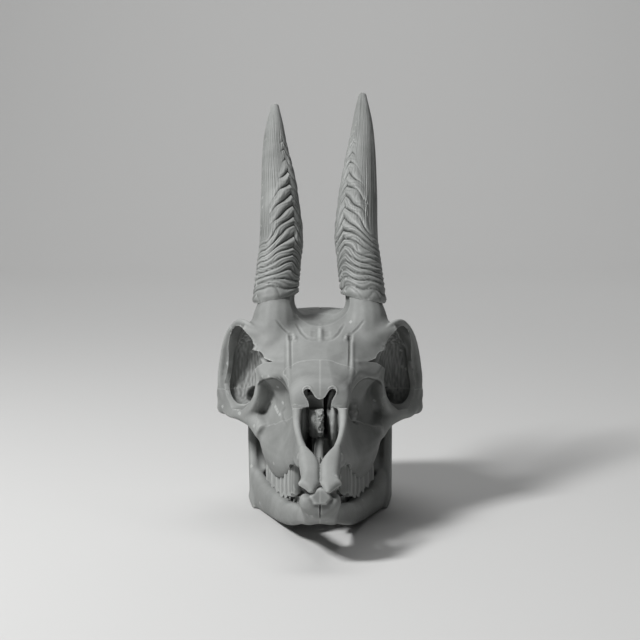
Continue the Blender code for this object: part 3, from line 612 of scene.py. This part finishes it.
def line_depth(flat, points, half, depth):
    """How much a line moves each point of a flat view, faded at the line's ends."""
    amount = np.zeros(len(flat))
    corners = np.array(points, float)
    low = corners.min(0) - half
    high = corners.max(0) + half
    near = np.flatnonzero(np.all((flat > low) & (flat < high), axis=1))
    spots = flat[near]
    lengths = np.linalg.norm(np.diff(corners, axis=0), axis=1)
    starts = np.concatenate([[0], np.cumsum(lengths)])
    best = np.full(len(near), np.inf)
    along = np.zeros(len(near))
    for i, (a, b) in enumerate(zip(corners, corners[1:])):
        t = np.clip(((spots - a) @ (b - a)) / lengths[i] ** 2, 0, 1)
        far = np.linalg.norm(spots - (a + t[:, None] * (b - a)), axis=1)
        closer = far < best
        best[closer] = far[closer]
        along[closer] = (starts[i] + t * lengths[i])[closer]
    ends = np.minimum(along, starts[-1] - along) / max(starts[-1], 1e-6)
    fade = 0.35 + 0.65 * np.clip(ends * 5, 0, 1)
    amount[near] = depth * fade * np.clip(1 - (best / half) ** 2, 0, 1) ** 1.6
    return amount


def engrave(thing):
    """Sinks and raises the fine lines in a thing's skin."""
    data = thing.data
    place = vectors(data.vertices, "co") / MM
    normal = vectors(data.vertex_normals, "vector")
    sunk = np.zeros(len(place))
    for side in SIDES.values():
        turned = place * (side, 1, 1)
        facing = normal * (side, 1, 1)
        front = (facing[:, 1] < -0.1) & (turned[:, 1] < 62)
        views = ((FRONT_LINES + (ONE_SIDED_LINES if side > 0 else []), (0, 2), front),
                 (TOP_LINES, (0, 1), facing[:, 2] > 0.2),
                 (SIDE_LINES, (1, 2), facing[:, 0] > 0.25))
        for lines, axes, seen in views:
            for points, half, depth in lines:
                # a line along the skull's middle is cut only once
                if side > 0 or axes[0] or points[-1][0] > 0.5:
                    sunk += line_depth(turned[:, axes], points, half, depth) * seen
    sunk += hollow_grain(place, normal)
    sink_fossa(place, normal, skin_tree(thing))
    place -= normal * sunk[:, None]
    data.vertices.foreach_set("co", (place * MM).ravel())
    data.update()


# Where the bone is rough: middle, radii, grain per mm along x, y and z, depth
EYE_ROUGH = [((21.5, 66, 40), (5.6, 9, 11), (1.7, 1.2, 0.4), 0.2),
             ((22, 64, 50.5), (4, 7, 4), (1.3, 1.3, 1.3), 0.4),
             ((17.6, 57, 46), (2.6, 6, 5), (1.6, 1.6, 1.6), 0.3)]
STRIP_ROUGH = ((0, 28.6, 31.5), (1.4, 3, 6), (1.9, 1.9, 1.9), 0.5)


def hollow_grain(place, normal):
    """Small uneven relief inside the eye sockets and on the nose's middle strip."""
    sunk = np.zeros(len(place))
    spots = [((x * side, y, z), radii, grain, depth) for side in SIDES.values()
             for (x, y, z), radii, grain, depth in EYE_ROUGH]
    for centre, radii, grain, depth in spots + [STRIP_ROUGH]:
        far = np.sum(((place - centre) / radii) ** 2, axis=1)
        toward = Vector(mirrored([SOCKET_INWARD], math.copysign(1, centre[0]))[0])
        for i in np.flatnonzero((far < 1) & (normal @ np.array(toward) < 0)):
            wave = noise.noise(Vector(place[i] * grain))
            sunk[i] += depth * wave * min(1, 2.5 * (1 - far[i]))
    return sunk


# Where fused forms are blended once more: the brow's front and the sockets' rims,
# as corners of boxes
SOFT_ZONES = [((-18, 38, 41), (18, 57, 48.5)), ((21, 52, 28), (32, 73, 57)),
              ((-32, 52, 28), (-21, 73, 57))]
SOFT_EDGE = 2.0  # depth over which the blending grows from a box's border
SOFT_PASSES = 16


def blended(thing):
    """Smooths a thing's skin inside the soft zones."""
    place = vectors(thing.data.vertices, "co") / MM
    group = thing.vertex_groups.new(name="soft")
    for low, high in SOFT_ZONES:
        inside = np.minimum(place - low, high - place).min(axis=1) / SOFT_EDGE
        for level in (0.25, 0.5, 0.75, 1.0):
            chosen = np.flatnonzero(inside >= level - 0.2)
            group.add([int(i) for i in chosen], level, "REPLACE")
    smooth(thing, SOFT_PASSES).vertex_group = "soft"
    return settled(thing)


def whole_skull():
    """The upper skull in one piece, with its cavities cut."""
    skull = fuse("skull", skull_masses(), close=0.6, soften=5)
    skull = fuse("skull", [skull, crown()], soften=4)
    hollows = fuse("hollows", soft_cutters(), soften=3)
    boolean(skull, hollows)
    skull = fuse("skull", [skull, *nose_wall(), *slender_bones()], soften=2)
    blended(skull)
    tree = skin_tree(skull)
    for side in SIDES.values():
        lip = [(x * side, front_y(tree, x * side, z + 0.5) + 0.15, z + 0.2) for x, z in NASAL_LIP]
        boolean(skull, tube("lip", lip, NASAL_LIP_RADII), "UNION")
    for cutter in sharp_cutters():
        boolean(skull, cutter)
    engrave(skull)
    return skull


# The lower jaw

# Along one half of the jaw: y, middle x, lowest z, highest z, thickness
JAW = [(6, 2.2, 9.4, 14.8, 3.8), (12, 2.6, 7.2, 12.0, 4.0), (20, 4.6, 5.6, 10.2, 3.6),
       (27, 6.6, 3.6, 9.6, 4.4), (34, 8.0, 2.0, 8.2, 5.0), (42, 9.9, 0.8, 7.8, 5.4),
       (50, 12.0, 0.0, 8.0, 5.6), (58, 14.8, -0.3, 8.4, 5.2), (66, 18, -0.3, 11, 4.0),
       (72, 19.2, -0.2, 14, 3.0)]
# Side view of the upright plate behind the teeth, as (y, z)
RAMUS = [(62, 0.6), (70, -0.2), (78, -0.2), (84, 1.2), (87.6, 5), (88.4, 10), (87.4, 16),
         (86.8, 22), (87.4, 27), (86, 29.4), (83.6, 29), (81.6, 28.4), (80, 31), (79.6, 36),
         (80, 39.6), (78.4, 40.6), (76, 36), (74.4, 28), (70.6, 19.5), (65.6, 10)]


def ramus_x(y, z):
    """How far out the upright plate of the jaw stands."""
    return min(19.8, 18.4 + 0.14 * (y - 62)) + 0.05 * max(0, z - 22)


# The chin, where both halves meet: y, half widths above and below, lowest and
# highest z
CHIN = [(-1.0, 2.6, 1.4, 13.4, 15.2), (-0.6, 3.7, 2.0, 12.3, 16.2), (0.2, 4.5, 2.5, 11.6, 17.0),
        (2.2, 4.9, 3.0, 11.0, 17.4), (5.5, 4.6, 3.8, 9.6, 15.6), (10, 4.2, 4.2, 8.0, 12.6),
        (15, 3.8, 4.2, 6.8, 10.8)]
# The worn base of the front teeth, (x, z) as the face shows it, its middle, how
# far back each of its rings lies and how wide it is, and how it leans back upward
WORN = [(-2.3, 17.1), (-1.3, 15.5), (1.4, 15.5), (2.6, 16.9), (1.3, 18.6), (-0.1, 18.9),
        (-1.0, 18.6)]
WORN_MIDDLE = (0.15, 17.1)
WORN_RINGS = ((-1.75, 0.92), (-1.3, 1.12), (1.2, 1.2))
WORN_LEAN = 0.42


def chin():
    """The front of the lower jaw, both sides in one."""
    rings = []
    for y, top, foot, low, high in spline(CHIN, 24):
        middle = (low + high) / 2
        half = [(0, high), (0.75 * top, high), (top, high - 0.14 * (high - low)),
                (max(top, foot), middle), (foot, low + 0.12 * (high - low)),
                (0.7 * foot, low), (0, low)]
        rings.append(spline([(x, y, z) for x, z in both_halves(half)], 48, closed=True))
    return loft("chin", rings)


def worn_base():
    """The worn base of the front teeth, a faceted knob on the chin."""
    low = WORN[1][1]
    mid_x, mid_z = WORN_MIDDLE
    rings = []
    for back, share in WORN_RINGS:
        rings.append([(mid_x + (x - mid_x) * share, back + WORN_LEAN * (z - low),
                       mid_z + (z - mid_z) * share) for x, z in WORN])
    return loft("worn", rings)


def jaw_half(side):
    """One half of the lower jaw, without its teeth."""
    rings = []
    for y, x, low, high, thick in spline(JAW, 60):
        turn = np.linspace(0, 2 * math.pi, 32, endpoint=False)
        wide = full(np.cos(turn), 0.75) * thick / 2
        tall = full(np.sin(turn), 0.85) * (high - low) / 2
        rings.append([((x + w) * side, y, (low + high) / 2 + t) for w, t in zip(wide, tall)])
    plate = []
    middle = np.mean(RAMUS, axis=0)
    for out, share in ((-1.3, 0.9), (-0.75, 1.0), (0.75, 1.0), (1.3, 0.9)):
        ring = spline(middle + (np.array(RAMUS) - middle) * share, 90, closed=True)
        plate.append([((ramus_x(y, z) + out) * side, y, z) for y, z in ring])
    things = [chin(), loft("bar", rings), loft("plate", plate)]
    things.append(ball("hinge", (20.9 * side, 85.0, 28.4), (2.4, 2.0, 1.6)))
    inner = [(15.6, 68, 9), (16.4, 72, 14), (16.9, 74.6, 20), (17.4, 76.6, 26)]
    things.append(tube("inner", mirrored(inner, side), [3.0, 2.4, 1.9, 1.3]))
    jaw = fuse("jaw", things, close=0.9, soften=4)
    jaw = fuse("jaw", [jaw, worn_base()], soften=1)
    split = [[(-0.55, -4, z), (0.55, -4, z), (0, 0.5, z)] for z in (9, 15.4)]
    boolean(jaw, loft("split", split))
    boolean(jaw, block("floor", (-40, -10, -9), (40, 120, 0)))
    low, high = sorted((-9 * side, SUTURE / 2 * side))
    return boolean(jaw, block("middle", (low, -10, -5), (high, 30, 40)))


# Teeth


def tooth(name, x, y, low, high, length, width, ribs, side):
    """A cheek tooth with a ribbed outer face and worn, pointed cusps."""
    turn = np.linspace(0, 2 * math.pi, 56, endpoint=False)
    c, s = np.cos(turn), np.sin(turn)
    across = full(c, 0.6) * width / 2
    along = full(s, 0.6) * length / 2
    wave = np.cos(2 * math.pi * ribs * along / length)
    furrows = np.cos(6 * math.pi * along / length)
    across += np.where(c > 0.1, (0.5 * wave + 0.22 * furrows) * c, 0)
    cusp = 0.2 - 0.7 * wave * np.maximum(0, c) + 0.9 * np.maximum(0, -c)
    rings = []
    for t in np.linspace(0, 1, 15):
        swell = 0.84 + 0.16 * math.sin(math.pi * min(1, 0.18 + t * 0.85))
        rise = low + (high - low) * t + (1 - t) ** 2 * cusp
        rings.append(np.stack([(x + across * swell) * side, y + along * swell, rise], 1))
    return loft(name, rings)


# Cheek teeth from front to back: length, width, ribs of the outer face
CHEEK_TEETH = [(4.4, 2.9, 1), (4.8, 3.6, 1), (5.0, 4.4, 1), (5.9, 5.2, 2), (6.4, 5.6, 2),
               (6.0, 5.2, 2)]
UPPER_ROW = {"inward": 0.0, "low": 8.2, "high": 15.5, "slim": 1.0, "rise": 0.3, "climb": 0.32}
LOWER_ROW = {"inward": 2.2, "low": 4.0, "high": 9.4, "slim": 0.72}
# The free socket round the left first tooth: middle and radii
FREE_SOCKET = ((6.4, 29.2, 15.2), (3.0, 3.4, 4.7))


def cheek_teeth(side, inward, low, high, slim, rise=0.0, climb=0.0):
    """A row of cheek teeth, between two heights; rise lifts the front roots, climb the tips."""
    row = []
    y = TOOTH_ROW
    for number, (length, width, ribs) in enumerate(CHEEK_TEETH):
        middle = y + length / 2
        x = TOOTH_FACE + TOOTH_SPREAD * (middle - TOOTH_ROW) - width / 2 - inward
        root = high + rise * max(0, 44 - middle)
        tip = low + climb * max(0, 40 - middle)
        row.append(tooth(f"tooth_{number}", x, middle, tip, root, length * 0.9, width * slim,
                         ribs, side))
        y += length
    return row


# Horns

HORN_FOOT_RISE = 66.0  # degrees above the floor, where the sheath starts
HORN_BEND = 7.0  # length over which the foot turns into the horn's own slope
HORN_SHORT = 1.4  # length by which the bent foot stays short of the straight one
HORN_ROWS = 320
HORN_SIDES = 252
SHEATH_BEVEL = 0.5  # depth of the bevel on the sheath's lowest rows
SHEATH_BEVEL_ROWS = 5
SHEATH_DIP = (2.6, 1.4)  # how much lower the sheath starts in front and outside
SHEATH_DIP_FADE = 16  # length over which its rows grow level
BLUNT_TIP = ((0.86, 0.28), (0.6, 0.5), (0.25, 0.6))  # width and rise of the tip's rings
RING_HEIGHT = 0.72
FOLD_HEIGHT = 1.45
FOLD_MIDDLE = math.radians(130)  # angles round the horn: where the folds are bent,
FOLD_SIDE = math.radians(158)  # and where they stand out most
SMOOTH_SIDE = math.radians(165)  # where the fibres are faintest
FIBRE_WAVES = (23, 31, 41, 53, 61, 73)
FIBRE_HEIGHT = 0.045


def horn_route(length):
    """Places and directions along a horn's middle line, in its upright plane.

    The tip lies where a straight horn's would; the foot bends to the peg.
    """
    straight = math.radians(HORN_RISE)
    tip = Vector(HORN_BASE) + Vector((math.cos(straight), math.sin(straight))) * length
    step = (length - HORN_SHORT) / HORN_ROWS
    places, slopes = [tip], [straight]
    for row in range(HORN_ROWS, 0, -1):
        turned = (HORN_FOOT_RISE - HORN_RISE) * math.exp(-(row - 0.5) * step / HORN_BEND)
        slope = straight + math.radians(turned)
        places.append(places[-1] - Vector((math.cos(slope), math.sin(slope))) * step)
        slopes.append(slope)
    return places[::-1], slopes[::-1]


def ridges(u, share, turn, rng):
    """How far the sheath stands out, on a grid of heights u and angles round it.

    The angle runs from the outer side over the front to the inner side.
    """
    seed = rng.uniform(0, 50)
    warp = np.array([[noise.noise(Vector((math.cos(a) * 1.1 + seed, math.sin(a) * 1.1, h / 6)))
                      for a in turn] for h in u])
    angle, part = np.meshgrid(turn, share)
    # the folds are highest between the horn's front and its inner side
    away = np.abs(np.angle(np.exp(1j * (angle - FOLD_MIDDLE))))
    sag = 6.2 * np.clip(away, 0, 1.4) * np.clip((part - 0.05) / 0.2, 0, 1)
    pitch = 2.5 + 2.3 * np.clip((part - 0.14) / 0.3, 0, 1)
    cycles = np.cumsum(np.full(len(u), u[1] - u[0])[:, None] / pitch, axis=0)
    phase = cycles + (sag + 1.5 * warp) / pitch
    crest = np.abs(np.sin(math.pi * phase)) ** 0.5 - 0.74
    split = np.abs(np.sin(2 * math.pi * phase + 5 * warp)) ** 0.7 - 0.7
    low = np.clip((0.27 - part) / 0.07, 0, 1)
    # higher up, the folds keep to the inner side
    retreat = np.clip((part - 0.38) / 0.25, 0, 1)
    inner = np.cos(angle - FOLD_SIDE - 0.45 * retreat) + 0.22 - 0.5 * retreat
    inner = np.clip(inner / 0.5, 0, 1)
    upper = np.clip((part - 0.17) / 0.08, 0, 1) * np.clip((0.84 - part) / 0.2, 0, 1) * inner
    bulge = 0.35 * upper
    height = RING_HEIGHT * low * (0.8 + 0.5 * warp) + FOLD_HEIGHT * upper * (0.85 + 0.6 * warp)
    return crest * height + 0.2 * split * (low + 0.6 * upper) + bulge


def strands(share, turn, rng):
    """Fine lengthwise fibres, which show where the horn has no rings."""
    angle, part = np.meshgrid(turn, share)
    total = np.zeros_like(angle)
    for waves in FIBRE_WAVES:
        start = rng.uniform(0, 6.28)
        drift = 0.5 * np.sin(part * rng.uniform(3, 9) + rng.uniform(0, 6.28))
        swell = 0.6 + 0.4 * np.sin(part * rng.uniform(8, 20) + 3 * angle)
        total += rng.uniform(0.4, 1) * swell * np.sin(waves * angle + start + drift)
    inner = np.clip((np.cos(angle - SMOOTH_SIDE) + 0.1) / 0.5, 0, 1)
    calm = 1 - 0.75 * inner * np.clip((0.75 - part) / 0.1, 0, 1)
    return FIBRE_HEIGHT * total * np.clip((part - 0.24) / 0.06, 0, 1) * calm


def horn(label):
    """A horn sheath with rings at its foot, folds up its inner side and fine fibres."""
    side = SIDES[label]
    length = HORN_LENGTHS[label]
    rng = np.random.default_rng(11 + side)
    places, slopes = horn_route(length)
    bow = spline([(x,) for x in HORN_BOWS[label]], HORN_ROWS + 1)[:, 0]
    girth = spline([(r,) for r in HORN_GIRTH], HORN_ROWS + 1)[:, 0]
    turn = np.linspace(0, 2 * math.pi, HORN_SIDES, endpoint=False)
    share = np.linspace(0, 1, HORN_ROWS + 1)
    relief = ridges(share * length, share, turn, rng) + strands(share, turn, rng)
    over, beside = np.sin(turn), np.cos(turn)
    dip = SHEATH_DIP[0] * over + SHEATH_DIP[1] * beside
    rings = []
    for row in range(HORN_ROWS + 1):
        y, z = places[row]
        rise, run = math.sin(slopes[row]), math.cos(slopes[row])
        bevel = SHEATH_BEVEL * max(0, 1 - row / SHEATH_BEVEL_ROWS) ** 2
        radius = girth[row] + relief[row] * min(1, girth[row] / 4) - bevel
        level = -math.exp(-share[row] * length / SHEATH_DIP_FADE) * dip
        out = radius * over
        x = (bow[row] + radius * beside) * side
        rings.append(np.stack([x, y - out * rise + level * run, z + out * run + level * rise], 1))
    # a blunt, rounded tip
    centre = Vector((bow[-1] * side, *places[-1]))
    along = Vector((0, math.cos(slopes[-1]), math.sin(slopes[-1])))
    last = [Vector(p) for p in rings[-1]]
    for shrink, rise in BLUNT_TIP:
        rings.append([centre + (p - centre) * shrink + along * rise for p in last])
    return loft("horn", rings)


# Bones and their sutures


def wavy(outline, seed):
    """A flat outline with the small zigzags of a suture along its sides."""
    rng = np.random.default_rng(seed)
    points = []
    for a, b in zip(outline, outline[1:] + outline[:1]):
        a, b = Vector(a), Vector(b)
        count = max(1, int((b - a).length / 0.9))
        across = Vector((b.y - a.y, a.x - b.x)).normalized()
        for step in range(count):
            swing = 0.0 if step == 0 else rng.uniform(-0.32, 0.32)
            points.append(a.lerp(b, step / count) + across * swing)
    return [tuple(p) for p in points]


def grown(outline, amount):
    """A flat outline, each side of which is moved outward by an amount."""
    points = [Vector(p) for p in outline]
    area = sum(a.x * b.y - a.y * b.x for a, b in zip(points, points[1:] + points[:1]))
    out = []
    for i, point in enumerate(points):
        before = (point - points[i - 1]).normalized()
        after = (points[(i + 1) % len(points)] - point).normalized()
        turned = [Vector((d.y, -d.x)) * math.copysign(1, area) for d in (before, after)]
        corner = turned[0] + turned[1]
        out.append(point + corner * (2 * amount / corner.length_squared))
    return [tuple(p) for p in out]


def side_region(outline, low, high):
    """A function that makes a block seen from the side, grown by an amount."""
    return lambda extra: prism("region", grown(outline, extra), low - extra, high + extra)


def top_region(outline, low, high):
    """The same for an outline seen from above."""
    return lambda extra: loft("region", [[(x, y, z) for x, y in grown(outline, extra)]
                                         for z in (low - extra, high + extra)])


# What each bone takes of the skull: outlines as (y, z), or (x, y) from above
NASAL = [(20, 35), (32, 35), (33, 37.9), (41, 42.1), (41, 60), (20, 60)]
PREMAXILLA = [(-12, 34.7), (29, 34.7), (2.3, 8), (-12, 8)]
UPPER_JAW = [(2.9, 8), (29.3, 34.4), (31, 34), (64, 20), (64, 8)]
CHEEKBONE = [(17.4, 46), (17.4, 68), (21.6, 73), (21.6, 86.5), (40, 86.5), (40, 46)]
WIDE = 40


def regions():
    """Each bone that is parted from the skull, with its region, in order."""
    middle = SUTURE / 2
    found = {}
    for label, side in SIDES.items():
        low, high = sorted((middle * side, WIDE * side))
        found["premaxilla_" + label] = side_region(wavy(PREMAXILLA, 1), low, high)
        found["nasal_" + label] = side_region(wavy(NASAL, 2), low, high)
        flat = [(x * side, y) for x, y in wavy(CHEEKBONE, 3)]
        found["cheekbone_" + label] = top_region(flat, 21, 34.2)
    found["upper_jaw"] = side_region(wavy(UPPER_JAW, 4), -WIDE, WIDE)
    return found


def parted(skull):
    """The skull's bones, a hair apart. The skull's mesh becomes the cranium."""
    bones = {}
    for name, region in regions().items():
        bone = placed(name, skull.data.copy())
        bones[name] = boolean(bone, region(0), "INTERSECT")
        boolean(skull, region(SUTURE))
    return {"cranium": skull, **bones}


def fitted(sheath, cranium, side):
    """A horn sheath hollowed to sit on the skull's peg with a thin gap."""
    low, high = sorted((0, 30 * side))
    near = block("near", (low, 40, 46), (high, 80, 75))
    peg = boolean(placed("peg", cranium.data.copy()), near, "INTERSECT")
    push(peg, SUTURE)
    peg = fuse("peg", [settled(peg)], soften=2)
    return boolean(sheath, peg)


def with_teeth(bone, teeth):
    """A bone with its teeth grown into it."""
    for each in teeth:
        boolean(bone, each, "UNION")
    return bone


# Finishes


def bone_finish(name, light, dark_tone_and_hollow_shade, grain, roughness, ribbed=False):
    """Dry bone: uneven tone, painted shade in the hollows and painted highlight on the edges,
    pores and fine scratches.
    """
    material = bpy.data.materials.new(name)
    material.use_nodes = True
    nodes = material.node_tree.nodes
    links = material.node_tree.links
    shader = nodes["Principled BSDF"]

    def add(kind, output, inputs, operation=None):
        """An output of a new node, whose inputs are values or other outputs."""
        node = nodes.new("ShaderNode" + kind)
        if operation:
            node.operation = operation
        for label, value in inputs.items():
            if isinstance(value, bpy.types.NodeSocket):
                links.new(value, node.inputs[label])
            else:
                node.inputs[label].default_value = value
        return node.outputs[output]

    def mottle(scale, detail, rough=0.6, where=None):
        return add("TexNoise", "Fac", {"Vector": where or place, "Scale": scale,
                                       "Detail": detail, "Roughness": rough})

    def span(value, low, high, to_low, to_high):
        return add("MapRange", "Result", {"Value": value, "From Min": low, "From Max": high,
                                          "To Min": to_low, "To Max": to_high})

    def plus(value, other, times=1.0):
        return add("Math", "Value", {0: other, 1: times, 2: value}, "MULTIPLY_ADD")

    place = add("TexCoord", "Object", {})
    # painted shade and highlight: low pointiness in hollows and creases darkens the tone toward
    # the dark colour, high pointiness on edges and rims pales it toward the light colour
    edges = span(add("NewGeometry", "Pointiness", {}), 0.45, 0.55, -1.0, 0.14)
    tone = plus(span(mottle(90, 4), 0.3, 0.7, 0.6, 0.95), edges)
    mix = nodes.new("ShaderNodeMix")
    mix.data_type = "RGBA"
    mix.inputs["A"].default_value = (*dark_tone_and_hollow_shade, 1)
    mix.inputs["B"].default_value = (*light, 1)
    links.new(tone, mix.inputs["Factor"])
    links.new(mix.outputs["Result"], shader.inputs["Base Color"])
    links.new(span(mottle(300, 3), 0.3, 0.7, roughness - 0.06, roughness + 0.06),
              shader.inputs["Roughness"])
    pores = span(mottle(grain, 5, 0.7), 0.36, 0.5, 0, 1)
    height = plus(pores, mottle(grain / 5, 3), 1.5)
    if ribbed:
        turn = (math.radians(90 - HORN_RISE), 0, 0)
        along = add("Mapping", "Vector", {"Vector": place, "Rotation": turn,
                                          "Scale": (1, 1, 0.04)})
        height = plus(height, mottle(1600, 3, 0.5, along), 2.0)
    bump = add("Bump", "Normal", {"Strength": 0.25, "Distance": 0.00012, "Height": height})
    links.new(bump, shader.inputs["Normal"])
    return material


# The pieces

skull = whole_skull()
bones = parted(skull)
for side in SIDES.values():
    centre, radii = FREE_SOCKET
    free_socket = ball("free_socket", mirrored([centre], side)[0], radii)
    boolean(bones["upper_jaw"], free_socket)
    with_teeth(bones["upper_jaw"], cheek_teeth(side, **UPPER_ROW))
for label, side in SIDES.items():
    teeth = cheek_teeth(side, **LOWER_ROW)
    bones["mandible_" + label] = with_teeth(jaw_half(side), teeth)
    bones["horn_" + label] = fitted(horn(label), bones["cranium"], side)

# each dark colour is both the darker random tone and the painted shade of the hollows; each light
# colour also takes the painted highlight of the edges
finishes = {
    "bone": bone_finish("bone_finish", light=(0.37, 0.38, 0.37), dark_tone_and_hollow_shade=(0.13, 0.135, 0.13),
                        grain=2200, roughness=0.62),
    "horn": bone_finish("horn_finish", light=(0.35, 0.36, 0.35), dark_tone_and_hollow_shade=(0.11, 0.115, 0.11),
                        grain=1400, roughness=0.52, ribbed=True),
}
for name, bone in bones.items():
    settled(bone, whole=True)
    bone.name = "fine_" + name
    bone.data.transform(Matrix.Translation((0, -CENTRE_Y * MM, 0)))
    slot = "horn" if name.startswith("horn") else "bone"
    bone.data.materials.clear()
    bone.data.materials.append(finishes[slot])
    bone.data.shade_smooth()
    bone.data.set_sharp_from_angle(angle=math.radians(50))
    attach(bone, "root")
    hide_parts(name)

# Floor, light and camera

AIM_HEIGHT = 55  # the height that the camera looks at, and its y from the muzzle's tip
AIM = Vector((0, (AIM_HEIGHT - CENTRE_Y) * MM, AIM_HEIGHT * MM))
DISTANCE = 0.385
ELEVATION = math.radians(5)
LENS = 77.8
SENSOR = 36
FLOOR_SIZE = 3.0
FLOOR_FRONT = -2.5
WALL_START = 1.2  # where the floor starts to bend up
WALL_BEND = 0.8
WALL_HEIGHT = 3.5
FLOOR_TONE = (0.52, 0.52, 0.515, 1)
SKY_TONE = (0.55, 0.56, 0.57, 1)
SKY_STRENGTH = 0.08

# a flat floor that bends up into a wall far behind the skull
sweep = [(FLOOR_FRONT, 0)]
for k in range(25):
    turn = math.radians(90 * k / 24)
    rise = WALL_BEND * (1 - math.cos(turn))
    sweep.append((WALL_START + WALL_BEND * math.sin(turn), rise))
sweep.append((WALL_START + WALL_BEND, WALL_HEIGHT))
floor_mesh = bmesh.new()
edges = [[floor_mesh.verts.new((x, y, z)) for y, z in sweep] for x in (-FLOOR_SIZE, FLOOR_SIZE)]
for k in range(len(sweep) - 1):
    floor_mesh.faces.new((edges[0][k], edges[1][k], edges[1][k + 1], edges[0][k + 1]))
floor = new_object("floor", floor_mesh)
floor.data.shade_smooth()
floor_material = bpy.data.materials.new("floor")
floor_material.use_nodes = True
floor_shader = floor_material.node_tree.nodes["Principled BSDF"]
floor_shader.inputs["Base Color"].default_value = FLOOR_TONE
floor_shader.inputs["Roughness"].default_value = 0.9
floor.data.materials.append(floor_material)

world = bpy.data.worlds.new("studio")
bpy.context.scene.world = world
world.use_nodes = True
sky = world.node_tree.nodes["Background"]
sky.inputs["Color"].default_value = SKY_TONE
sky.inputs["Strength"].default_value = SKY_STRENGTH


def lamp(name, place, power, size, turn=None):
    """A soft square lamp that looks at the skull, or is turned by degrees about X."""
    data = bpy.data.lights.new(name, "AREA")
    data.energy = power
    data.size = size
    light = placed(name, data)
    light.location = place
    facing = (AIM - Vector(place)).to_track_quat("-Z", "Y").to_euler()
    light.rotation_euler = facing if turn is None else (math.radians(turn), 0, 0)


lamp("key", (-0.40, -0.26, 0.54), 5.8, 0.14)
lamp("fill", (0.1, -0.8, 0.2), 0.15, 0.4)
lamp("wall", (0, 0.9, 1.8), 26, 1.5, turn=35)
bpy.context.scene.view_settings.view_transform = "Standard"

camera_data = bpy.data.cameras.new("camera")
camera_data.sensor_width = SENSOR
camera_data.lens = LENS
camera_data.clip_start = 0.01
camera = placed("camera", camera_data)
away = Vector((0, -math.cos(ELEVATION), math.sin(ELEVATION)))
camera.location = AIM + away * DISTANCE
camera.rotation_euler = (-away).to_track_quat("-Z", "Y").to_euler()
bpy.context.scene.camera = camera
